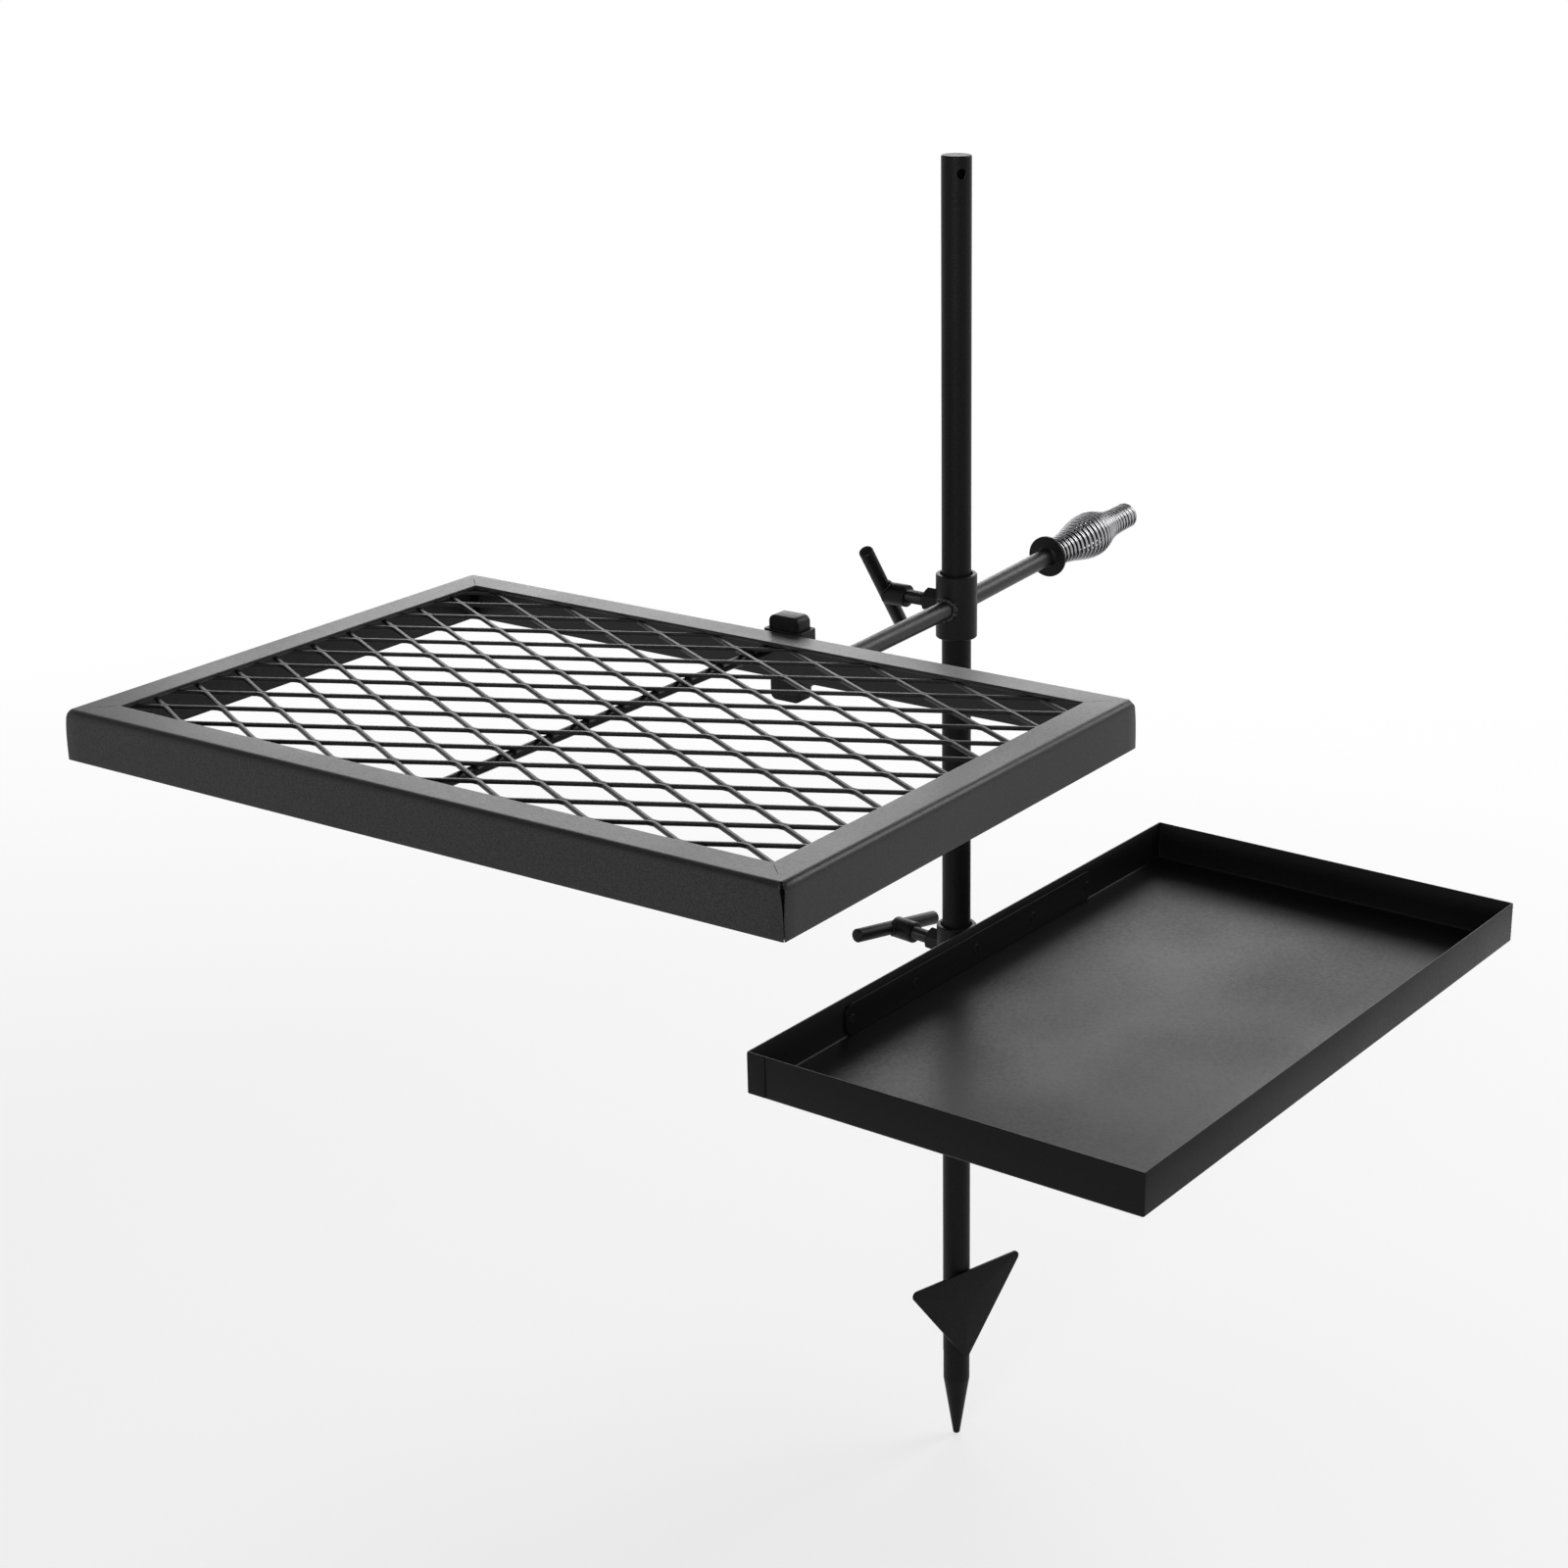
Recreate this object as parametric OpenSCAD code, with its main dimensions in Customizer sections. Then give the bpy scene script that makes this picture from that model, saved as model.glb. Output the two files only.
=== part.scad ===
// Swing arm campfire grill.
// A steel pole is driven into the ground. Two collars slide and turn on it: the upper one carries
// the swing arm with its grate and spring grip, the lower one carries a shallow griddle tray.
// Frame: Z runs up the pole, X points to the griddle, Y points to the grip. The origin is on the
// pole's axis at ground level. All sizes are in millimetres and all turns are in degrees.

/* [Pole] */
// Outside diameter of the pole tube
pole_d = 25.4; // [22:0.1:30]
// Wall of the pole tube
pole_wall = 2; // [1.5:0.1:3]
// Height of the pole's top above the ground
pole_top = 1022; // [960:1:1200]
// Length of tube below ground level
tube_below = 90; // [88:1:120]
// Thickness of the cap's rim
cap_t = 2; // [1.5:0.1:4]
// Depth of the cap's plug inside the tube
cap_plug = 6; // [3:0.5:8]
// Rounding of the cap's edge
cap_round = 1.4; // [0.5:0.1:1.5]
// Diameter of the cross hole near the top
cross_hole_d = 8.5; // [5:0.1:10]
// Distance from the pole's top down to the cross hole
cross_hole_drop = 14; // [13.5:0.5:40]
// Direction of the cross hole, seen from above
cross_hole_turn = -37; // [-180:1:180]

/* [Ground spike] */
// Diameter of the spike's straight part
spike_d = 24.9; // [21.5:0.1:25]
// Length of the spike's straight part
spike_straight = 30; // [10:1:60]
// Length of the spike's taper
spike_taper = 62; // [30:1:120]
// Diameter at the blunt tip
spike_tip_d = 6.4; // [3:0.1:12]
// Length of the shank that plugs the tube
spike_shank = 60; // [20:1:80]
// Width of the foot plate along its top edge
plate_w = 130; // [80:1:180]
// Height of the foot plate
plate_h = 87; // [60:1:88]
// Thickness of the foot plate
plate_t = 3; // [2:0.1:6]
// Rounding of the foot plate's corners
plate_round = 5; // [2:0.5:12]
// Direction that the foot plate faces, seen from above
plate_turn = -17; // [-180:1:180]

/* [Collars] */
// Wall of both collars
collar_wall = 3.4; // [2.5:0.1:5]
// Play between pole and collar, at each side
collar_play = 1.7; // [1.2:0.1:3]
// Height of the upper collar
arm_collar_h = 56; // [45:1:80]
// Height of the upper collar's middle above the ground
arm_z = 644; // [620:1:700]
// Height of the griddle's collar
griddle_collar_h = 45; // [40:1:80]
// Height of the griddle collar's middle above the ground
griddle_z = 325.5; // [300:0.5:345]
// Chamfer on the collars' outer edges
collar_chamfer = 0.8; // [0.3:0.1:2]
// Height of each bush ring
bush_h = 7; // [4:0.5:9]
// Depth of the bush rings below the collar's ends
bush_recess = 4; // [1:0.5:5]

/* [Lock screws] */
// Diameter of the screw
screw_d = 12; // [8:0.5:14]
// Width of the nut across its flats
nut_af = 19; // [17:0.5:22]
// Length of the nut outside the collar
nut_len = 12.5; // [8:0.5:16]
// Length of bare thread between nut and boss
thread_len = 19; // [8:0.5:30]
// Diameter of the handle's boss
boss_d = 19.5; // [16:0.5:26]
// Length of the boss up to the middle of the bar
boss_len = 23.5; // [20:0.5:40]
// Diameter of the handle bar
bar_d = 12.7; // [8:0.1:14]
// Length of the handle bar
bar_len = 108; // [60:1:120]
// Chamfer on the ends of the handle bar
bar_chamfer = 1; // [0.3:0.1:2]
// Turn of the upper handle bar from upright
arm_bar_turn = 35; // [0:1:180]
// Turn of the lower handle bar from upright
griddle_bar_turn = 82; // [0:1:180]
// Direction of the lower screw against the X axis, seen from above
griddle_screw_turn = -8; // [-40:1:40]

/* [Swing arm] */
// Diameter of the arm rod and the handle rod
rod_d = 15.9; // [12:0.1:20]
// Distance from the pole's axis to the middle of the tongue
reach = 243.5; // [200:0.5:320]
// Slope of the arm rod, down towards the grate
arm_fall = 1.8; // [0:0.1:4]
// Slope of the handle rod, up towards the grip
handle_rise = 3.1; // [0:0.1:4]
// Width of the tongue
tongue_w = 29; // [20:0.5:40]
// Thickness of the tongue
tongue_t = 16; // [10:0.5:24]
// Height of the tongue
tongue_h = 70; // [60:1:90]
// Distance of the tongue's foot below the middle of the arm rod's end
tongue_foot = 11.6; // [8.5:0.1:14]
// Rounding of the tongue's corners, seen from the front
tongue_round = 5.5; // [1:0.5:7]
// Size of the weld beads
bead = 3.5; // [2:0.1:5]

/* [Spring grip] */
// Distance from the pole's axis to the grip's disc
disc_at = 150.5; // [120:0.5:200]
// Diameter of the grip's disc
disc_d = 37; // [30:0.5:50]
// Thickness of the grip's disc
disc_t = 3.5; // [2:0.1:6]
// Length of the spring
spring_len = 145; // [120:1:180]
// Play between handle rod and spring, at the spring's ends
core_play = 1.15; // [0.5:0.05:3]
// Growth of the spring's radius from its ends to its widest turn
spring_swell = 9; // [4:0.5:14]
// Place of the widest turn, as a share of the length
spring_peak = 0.48; // [0.35:0.01:0.65]
// Diameter of the spring's wire
wire_d = 2.9; // [2:0.1:3.2]
// Number of turns
spring_turns = 26; // [20:1:28]
// Length of spring beyond the end of the handle rod
core_short = 12; // [4:0.5:30]

/* [Grate] */
// Length of the grate, along X
grate_l = 640; // [500:1:700]
// Width of the grate, along Y
grate_w = 440; // [350:1:500]
// Height of the grate's top above the middle of the arm's collar
grate_rise = 40; // [38:0.5:42]
// Height of the rails' upright leg
rail_h = 38; // [30:0.5:45]
// Width of the rails' top flange
rail_w = 29; // [20:0.5:35]
// Thickness of the rails
rail_t = 3; // [2:0.1:4]
// Outer radius of the rails' bend
rail_bend = 5.5; // [3.5:0.1:8]
// Gap in the mitred corners
mitre_gap = 0.4; // [0.2:0.1:1.5]
// Pitch of the mesh along the grate
mesh_long = 75; // [60:1:90]
// Pitch of the mesh across the grate
mesh_short = 40; // [30:1:50]
// Width of one strand, measured across the grate
strand_w = 3.2; // [2:0.1:4]
// Length of the knuckles where the strands join
knuckle = 8; // [4:0.5:14]
// Thickness of the mesh
mesh_t = 3; // [1.5:0.1:4]
// Diameter of the support rod under the mesh
stay_d = 8; // [5:0.1:10]
// Wall of the sleeve that drops over the tongue
sleeve_wall = 3; // [2:0.1:4]
// Play between sleeve and tongue
sleeve_play = 0.5; // [0.3:0.1:1]

/* [Griddle] */
// Length of the griddle, along the pole's side of it
tray_l = 650; // [500:1:700]
// Width of the griddle, away from the pole
tray_w = 375; // [300:1:450]
// Depth of the griddle
tray_h = 38; // [34:0.5:44]
// Height of the griddle's rim above the middle of its collar
rim_rise = 24.5; // [18:0.5:30]
// Thickness of the sheet
tray_t = 1.5; // [1:0.1:3]
// Turn of the griddle, seen from above
tray_turn = -2; // [-30:1:30]
// Length of the stiffening strip
strip_l = 388; // [200:1:420]
// Height of the stiffening strip
strip_h = 29; // [20:0.5:29]
// Thickness of the stiffening strip
strip_t = 2; // [1:0.1:4]
// Rounding of the strip's corners
strip_round = 9; // [2:0.5:10]
// Diameter of the plug welds in the strip
plug_d = 9; // [5:0.1:12]
// Distance from the strip's end to the middle of the last plug weld
plug_edge = 8; // [7:0.5:20]

/* [Hidden] */
$fn = 64;

// Running clearance at each side of a pin in its hole
run = 0.05;
// Gap between curved faces that are welded together
seat = 0.1;
// Extra length of a cutting shape beyond what it cuts
over = 1;
// Clearance under the sleeve, where it sits on the arm rod
rest_gap = 0.3;

pole_r = pole_d / 2;
collar_in = pole_r + collar_play;
collar_out = collar_in + collar_wall;
rod_r = rod_d / 2;
screw_r = screw_d / 2;
boss_at = collar_out + nut_len + thread_len;
bar_at = boss_at + boss_len;
tongue_back = -(reach - tongue_t / 2);
grate_back = -(reach + tongue_t / 2 + sleeve_play + sleeve_wall);
grate_front = grate_back - grate_w;
grate_mid = (grate_front + grate_back) / 2;
grate_top = arm_z + grate_rise;
mesh_top = grate_top - rail_t;
rod_end_z = arm_z + tongue_back * tan(arm_fall);
sleeve_foot = rod_end_z + rod_r / cos(arm_fall) + rest_gap;
sleeve_out_w = tongue_w + 2 * (sleeve_play + sleeve_wall);
sleeve_out_t = tongue_t + 2 * (sleeve_play + sleeve_wall);
tray_rim = griddle_z + rim_rise;
tray_in_x = collar_out + seat + tray_t;
tray_floor = tray_rim - tray_h + tray_t;
plug_pitch = (strip_l / 2 - plug_edge) / 2;

pole_black = [0.05, 0.05, 0.055];
coat_black = [0.12, 0.12, 0.125];
sheet_black = [0.08, 0.08, 0.085];
thread_grey = [0.2, 0.2, 0.2];
bush_grey = [0.25, 0.25, 0.26];
bright_steel = [0.8, 0.8, 0.82];

// A ring around the Z axis
module ring(outer, inner, height) {
    difference() {
        cylinder(r = outer, h = height);
        translate([0, 0, -over]) cylinder(r = inner, h = height + 2 * over);
    }
}

// Pole: the tube with its cross hole
module pole_tube() {
    color(pole_black) difference() {
        translate([0, 0, -tube_below]) cylinder(r = pole_r, h = pole_top - cap_t + tube_below);
        translate([0, 0, -tube_below - over])
            cylinder(r = pole_r - pole_wall, h = pole_top + tube_below + 2 * over);
        translate([0, 0, pole_top - cross_hole_drop])
            rotate([0, 0, cross_hole_turn]) rotate([0, 90, 0])
                translate([0, 0, -pole_d]) cylinder(d = cross_hole_d, h = 2 * pole_d);
    }
}

// Half section of the cap: a rim with a rounded edge, and the plug below it
module cap_section() {
    translate([0, -cap_plug]) square([pole_r - pole_wall - run, cap_plug]);
    square([pole_r - cap_round, cap_t]);
    square([pole_r, cap_t - cap_round]);
    intersection() {
        translate([pole_r - cap_round, cap_t - cap_round]) circle(r = cap_round);
        square([pole_r, cap_t]);
    }
}

module pole_cap() {
    color(pole_black) translate([0, 0, pole_top - cap_t]) rotate_extrude() cap_section();
}

// Spike: a shank in the tube, a straight part and a blunt taper, turned from bar
module ground_spike() {
    shank_r = pole_r - pole_wall - run;
    tip_r = spike_tip_d / 2;
    tip_edge = tip_r / 3;
    foot = -spike_straight - spike_taper;
    color(pole_black) translate([0, 0, -tube_below]) rotate_extrude() polygon([
        [0, spike_shank], [shank_r, spike_shank], [shank_r, 0], [spike_d / 2, 0],
        [spike_d / 2, -spike_straight], [tip_r, foot + tip_edge], [tip_r - tip_edge, foot], [0, foot]
    ]);
}

// The foot plate stands upright against the pole, its straight edge at ground level
module on_plate() {
    rotate([0, 0, plate_turn]) translate([pole_r + seat, 0, 0]) rotate([90, 0, 90]) children();
}

module foot_plate() {
    side = plate_w / 2 - plate_round;
    color(pole_black) on_plate() linear_extrude(plate_t) hull() {
        translate([-side, -plate_round]) circle(r = plate_round, $fn = 24);
        translate([side, -plate_round]) circle(r = plate_round, $fn = 24);
        translate([0, -plate_h + plate_round / 4]) circle(r = plate_round / 4, $fn = 16);
    }
}

// Two upright beads fill the corners between the pole and the plate
module foot_plate_welds() {
    bead_h = plate_h / 2;
    color(pole_black) rotate([0, 0, plate_turn]) translate([0, 0, -bead_h - plate_round])
        for (side = [-1, 1])
            linear_extrude(bead_h) difference() {
                polygon([
                    [pole_r, side * bead], [pole_r, side * 2.4 * bead], [pole_r - bead, side * 2.2 * bead],
                    [pole_r - 1.2 * bead, side * bead]
                ]);
                circle(r = pole_r + seat);
            }
}

// A pair of plain rings that fill the play between pole and collar
module bush_pair(middle, height) {
    color(bush_grey)
        for (z = [middle - height / 2 + bush_recess, middle + height / 2 - bush_recess - bush_h])
            translate([0, 0, z]) ring(collar_in - run, pole_r + run, bush_h);
}

// A frame for a lock screw: its Z axis leaves the pole, its X axis points up
module lock_frame(height, turn) {
    translate([0, 0, height]) rotate([0, 0, turn]) rotate([0, -90, 0]) children();
}

module collar(middle, height, turn) {
    c = collar_chamfer;
    color(coat_black) difference() {
        translate([0, 0, middle - height / 2]) rotate_extrude() polygon([
            [collar_in, 0], [collar_out - c, 0], [collar_out, c],
            [collar_out, height - c], [collar_out - c, height], [collar_in, height]
        ]);
        lock_frame(middle, turn) cylinder(r = screw_r + run, h = collar_out + over);
    }
}

module weld_nut(middle, height, turn) {
    color(coat_black) difference() {
        lock_frame(middle, turn) cylinder(d = nut_af / cos(30), h = collar_out + nut_len, $fn = 6);
        lock_frame(middle, turn) cylinder(r = screw_r + run, h = collar_out + nut_len + over);
        translate([0, 0, middle - height]) cylinder(r = collar_out + seat, h = 2 * height);
    }
}

// The screw reaches from the pole's face through collar and nut into the boss
module lock_screw(middle, turn) {
    color(thread_grey) lock_frame(middle, turn)
        translate([0, 0, pole_r + run]) cylinder(r = screw_r, h = bar_at - bar_d / 2 - 2 * over - pole_r);
}

module bar_axis(bar_turn) {
    translate([0, 0, bar_at]) rotate([0, 0, -bar_turn]) rotate([0, 90, 0]) children();
}

module lock_boss(middle, turn, bar_turn) {
    color(coat_black) lock_frame(middle, turn) difference() {
        translate([0, 0, boss_at]) cylinder(d = boss_d, h = boss_len);
        bar_axis(bar_turn) translate([0, 0, -boss_d]) cylinder(r = bar_d / 2 + seat, h = 2 * boss_d);
        cylinder(r = screw_r + run, h = bar_at - bar_d / 2 - over);
    }
}

module lock_bar(middle, turn, bar_turn) {
    half = bar_len / 2;
    r = bar_d / 2;
    color(coat_black) lock_frame(middle, turn) bar_axis(bar_turn) rotate_extrude() polygon([
        [0, -half], [r - bar_chamfer, -half], [r, -half + bar_chamfer],
        [r, half - bar_chamfer], [r - bar_chamfer, half], [0, half]
    ]);
}

module arm_bushes() {
    bush_pair(arm_z, arm_collar_h);
}

module arm_collar() {
    collar(arm_z, arm_collar_h, 0);
}

module arm_nut() {
    weld_nut(arm_z, arm_collar_h, 0);
}

module arm_lock_screw() {
    lock_screw(arm_z, 0);
}

module arm_lock_boss() {
    lock_boss(arm_z, 0, arm_bar_turn);
}

module arm_lock_bar() {
    lock_bar(arm_z, 0, arm_bar_turn);
}

// Both rods start at the pole's axis. In this frame Z runs outwards along the rod:
// side 1 is the grate's side, where the rod falls, and side -1 the grip's side, where it rises.
module rod_frame(side) {
    slope = side == 1 ? arm_fall : handle_rise;
    translate([0, 0, arm_z]) rotate([slope, 0, 0]) rotate([side * 90, 0, 0]) children();
}

module collar_space() {
    translate([0, 0, arm_z - arm_collar_h]) cylinder(r = collar_out + seat, h = 2 * arm_collar_h);
}

module arm_rod() {
    color(coat_black) difference() {
        rod_frame(1) cylinder(r = rod_r, h = reach);
        collar_space();
        translate([-rod_d, tongue_back - tongue_t, rod_end_z - rod_d])
            cube([2 * rod_d, tongue_t, 2 * rod_d]);
    }
}

module handle_rod() {
    color(coat_black) difference() {
        rod_frame(-1) cylinder(r = rod_r, h = disc_at + disc_t + spring_len - core_short);
        collar_space();
    }
}

// A bead around a rod where it meets the collar
module rod_bead(side) {
    foot = collar_out - bead;
    color(coat_black) difference() {
        rod_frame(side) translate([0, 0, foot])
            cylinder(r1 = rod_r + 1.5 * bead, r2 = rod_r + seat, h = 2.4 * bead);
        rod_frame(side) cylinder(r = rod_r + seat, h = collar_out + 3 * bead);
        collar_space();
    }
}

module arm_rod_weld() {
    rod_bead(1);
}

module handle_rod_weld() {
    rod_bead(-1);
}

// A flat shape with four round corners, centred on the Y axis and standing on the X axis
module rounded_plate(w, h, r) {
    translate([-w / 2 + r, 0]) square([w - 2 * r, h]);
    translate([-w / 2, r]) square([w, h - 2 * r]);
    for (side = [-1, 1])
        for (y = [r, h - r])
            translate([side * (w / 2 - r), y]) circle(r = r);
}

// The tongue is a flat bar with round corners
module arm_tongue() {
    color(coat_black) translate([0, tongue_back, rod_end_z - tongue_foot])
        rotate([90, 0, 0]) linear_extrude(tongue_t) rounded_plate(tongue_w, tongue_h, tongue_round);
}

// A bead joins rod and tongue, below the place where the sleeve sits
module tongue_weld() {
    color(coat_black) intersection() {
        difference() {
            translate([0, tongue_back, rod_end_z]) rotate([-90, 0, 0])
                cylinder(r1 = rod_r + bead, r2 = rod_r + seat, h = 1.6 * bead);
            rod_frame(1) cylinder(r = rod_r + seat, h = reach);
        }
        translate([-tongue_w / 2, tongue_back, rod_end_z - tongue_foot])
            cube([tongue_w, tongue_t, tongue_foot + rod_r / 2]);
    }
}

module grip_disc() {
    color(coat_black) rod_frame(-1) translate([0, 0, disc_at]) ring(disc_d / 2, rod_r + run, disc_t);
}

// Share of the spring's swell at a place along it, from 0 at the ends to 1 at its widest turn
swell_rise = 0.25;
swell_fall = 0.18;
function swell(place) =
    let (off = place - spring_peak, spread = off < 0 ? swell_rise : swell_fall)
    exp(-pow(off / spread, 2));

// Middle line of the wire. It leaves the disc square to it, bends over and winds away from it.
rings_per_turn = 8;
wire_sides = 6;
wire_r = wire_d / 2;
coil_start = 1.6 * wire_d;
coil_end_r = rod_r + core_play + wire_r;
coil_len = spring_len - coil_start - wire_r;
coil_steps = rings_per_turn * spring_turns;
function coil_radius(place) = coil_end_r + spring_swell * swell(place);
function coil_point(i) =
    let (place = i / coil_steps, angle = 360 * i / rings_per_turn, r = coil_radius(place))
    [r * cos(angle), r * sin(angle), coil_start + place * coil_len];
spring_path = [
    [coil_radius(0), 0, 0],
    [coil_radius(0), 0, wire_d],
    for (i = [0.5, for (k = [1 : coil_steps]) k]) coil_point(i),
    coil_point(coil_steps) + wire_d * unit(coil_point(coil_steps) - coil_point(coil_steps - 1))
];

function unit(v) = v / norm(v);

// Points of a round tube along a path: one ring of points at each point of the path
function tube_rings(path, radius, sides) = [
    for (i = [0 : len(path) - 1])
        let (
            ahead = path[min(i + 1, len(path) - 1)],
            behind = path[max(i - 1, 0)],
            along = i == 0 ? [0, 0, 1] : unit(ahead - behind),
            out = [path[i][0], path[i][1], 0],
            normal = unit(out - (out * along) * along),
            other = cross(along, normal)
        )
        for (k = [0 : sides - 1])
            path[i] + radius * (cos(360 * k / sides) * normal + sin(360 * k / sides) * other)
];

// Triangles that join the rings and close both ends
function tube_faces(rings, sides) = [
    for (i = [0 : rings - 2])
        for (k = [0 : sides - 1])
            let (a = i * sides + k, b = i * sides + (k + 1) % sides)
            each [[a, a + sides, b], [b, a + sides, b + sides]],
    for (k = [1 : sides - 2]) each [
        [0, k, k + 1],
        [(rings - 1) * sides, (rings - 1) * sides + k + 1, (rings - 1) * sides + k]
    ]
];

// Least clear distance between two places of the wire that lie at least half a turn apart
apart = rings_per_turn / 2;
wire_gap = min([
    for (i = [0 : len(spring_path) - 1 - apart])
        for (j = [i + apart : min(i + 3 * rings_per_turn, len(spring_path) - 1)])
            norm(spring_path[i] - spring_path[j])
]) - wire_d;
echo(least_gap_of_the_spring_to_itself = wire_gap);

module grip_spring() {
    color(bright_steel) rod_frame(-1) translate([0, 0, disc_at + disc_t])
        polyhedron(
            points = tube_rings(spring_path, wire_r, wire_sides),
            faces = tube_faces(len(spring_path), wire_sides)
        );
}

// A square corner block whose upper left corner is rounded
module rounded_block(w, h, r) {
    square([w, h - r]);
    translate([r, 0]) square([w - r, h]);
    translate([r, h - r]) circle(r = r);
}

// Section of a rail: X runs inwards from the outer face, Y runs up from the foot
module rail_section() {
    difference() {
        rounded_block(rail_w, rail_h, rail_bend);
        translate([rail_t, -over])
            rounded_block(rail_w, rail_h - rail_t + over, rail_bend - rail_t);
    }
}

// One rail lies along X with its outer face at Y = 0, and both ends are cut to the mitre
module rail(length) {
    cut = length / 2 - mitre_gap / 2;
    intersection() {
        translate([-length / 2, 0, 0]) rotate([90, 0, 90]) linear_extrude(length) rail_section();
        linear_extrude(rail_h + over) polygon([
            [-cut - over, -over], [cut + over, -over],
            [cut - rail_w - over, rail_w + over], [-cut + rail_w + over, rail_w + over]
        ]);
    }
}

module grate_frame() {
    translate([0, grate_mid, grate_top - rail_h]) children();
}

module grate_front_rail() {
    color(coat_black) grate_frame() translate([0, -grate_w / 2, 0]) rail(grate_l);
}

module grate_back_rail() {
    color(coat_black) grate_frame() rotate([0, 0, 180]) translate([0, -grate_w / 2, 0]) rail(grate_l);
}

module grate_left_rail() {
    color(coat_black) grate_frame() rotate([0, 0, -90]) translate([0, -grate_l / 2, 0]) rail(grate_w);
}

module grate_right_rail() {
    color(coat_black) grate_frame() rotate([0, 0, 90]) translate([0, -grate_l / 2, 0]) rail(grate_w);
}

// A bead stands in each inner corner of the frame, below the mesh
module grate_corner_welds() {
    bead_h = rail_h - rail_t - mesh_t - bead;
    color(coat_black) grate_frame()
        for (sx = [-1, 1])
            for (sy = [-1, 1])
                translate([sx * (grate_l / 2 - rail_t), sy * (grate_w / 2 - rail_t), 0])
                    scale([sx, sy, 1]) linear_extrude(bead_h)
                        polygon([[-seat, -seat], [-seat, -bead - seat], [-bead - seat, -seat]]);
}

// Expanded metal: a sheet with rows of six-sided openings, every second row shifted half a pitch.
// A plain border stays all round, under the rails' flanges and just clear of their inner bend.
mesh_border = 6;
mesh_clear = 0.3;
mesh_phase_x = -10.7;
mesh_phase_y = -6;
module mesh_opening() {
    half_l = (mesh_long - knuckle) / 2;
    half_s = mesh_short / 2 - strand_w;
    polygon([
        [-half_l, 0], [-knuckle / 2, half_s], [knuckle / 2, half_s],
        [half_l, 0], [knuckle / 2, -half_s], [-knuckle / 2, -half_s]
    ]);
}

module grate_mesh() {
    sheet_l = grate_l - 2 * (rail_bend + mesh_clear);
    sheet_w = grate_w - 2 * (rail_bend + mesh_clear);
    columns = ceil(sheet_l / mesh_long / 2) + 1;
    rows = ceil(sheet_w / mesh_short / 2) + 1;
    color(coat_black) translate([0, grate_mid, mesh_top - mesh_t]) linear_extrude(mesh_t)
        difference() {
            square([sheet_l, sheet_w], center = true);
            intersection() {
                square([sheet_l - 2 * mesh_border, sheet_w - 2 * mesh_border], center = true);
                for (shift = [0, 0.5])
                    for (i = [-columns : columns])
                        for (j = [-rows : rows])
                            translate([
                                mesh_phase_x + (i + shift) * mesh_long,
                                mesh_phase_y + (j + shift) * mesh_short
                            ]) mesh_opening();
            }
        }
}

module grate_support_rod() {
    color(coat_black) translate([0, grate_front + rail_t, mesh_top - mesh_t - stay_d / 2])
        rotate([-90, 0, 0]) cylinder(d = stay_d, h = grate_w - 2 * rail_t);
}

// The sleeve is a short box tube, welded to the back rail and open at top and foot
module grate_sleeve() {
    height = grate_top - sleeve_foot;
    in_w = sleeve_out_w - 2 * sleeve_wall;
    in_t = sleeve_out_t - 2 * sleeve_wall;
    color(coat_black) translate([0, -reach, sleeve_foot]) difference() {
        translate([-sleeve_out_w / 2, -sleeve_out_t / 2, 0]) cube([sleeve_out_w, sleeve_out_t, height]);
        translate([-in_w / 2, -in_t / 2, -over]) cube([in_w, in_t, height + 2 * over]);
    }
}

module sleeve_welds() {
    color(coat_black) translate([0, grate_back, grate_top - rail_h])
        for (side = [-1, 1])
            translate([side * sleeve_out_w / 2, 0, 0]) scale([side, 1, 1])
                linear_extrude(rail_h - rail_bend) polygon([[0, 0], [bead, 0], [0, bead]]);
}

module griddle_bushes() {
    bush_pair(griddle_z, griddle_collar_h);
}

module griddle_collar() {
    collar(griddle_z, griddle_collar_h, griddle_screw_turn);
}

module griddle_nut() {
    weld_nut(griddle_z, griddle_collar_h, griddle_screw_turn);
}

module griddle_lock_screw() {
    lock_screw(griddle_z, griddle_screw_turn);
}

module griddle_lock_boss() {
    lock_boss(griddle_z, griddle_screw_turn, griddle_bar_turn);
}

module griddle_lock_bar() {
    lock_bar(griddle_z, griddle_screw_turn, griddle_bar_turn);
}

// The griddle is an open tray of folded sheet, whose long wall is welded to its collar
module griddle_tray() {
    color(sheet_black) rotate([0, 0, tray_turn])
        translate([collar_out + seat, -tray_l / 2, tray_rim - tray_h]) difference() {
            cube([tray_w, tray_l, tray_h]);
            translate([tray_t, tray_t, tray_t])
                cube([tray_w - 2 * tray_t, tray_l - 2 * tray_t, tray_h]);
        }
}

// Two beads fill the corners between the collar and the griddle's wall
module griddle_welds() {
    foot = max(tray_rim - tray_h, griddle_z - griddle_collar_h / 2) + bead;
    head = min(tray_rim, griddle_z + griddle_collar_h / 2) - bead;
    color(coat_black) rotate([0, 0, tray_turn]) translate([0, 0, foot])
        for (side = [-1, 1])
            linear_extrude(head - foot) difference() {
                polygon([
                    [collar_out, side * 1.2 * bead], [collar_out, side * 3 * bead],
                    [collar_out - bead, side * 2.9 * bead], [collar_out - 1.5 * bead, side * 1.2 * bead]
                ]);
                circle(r = collar_out + seat);
            }
}

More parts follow.
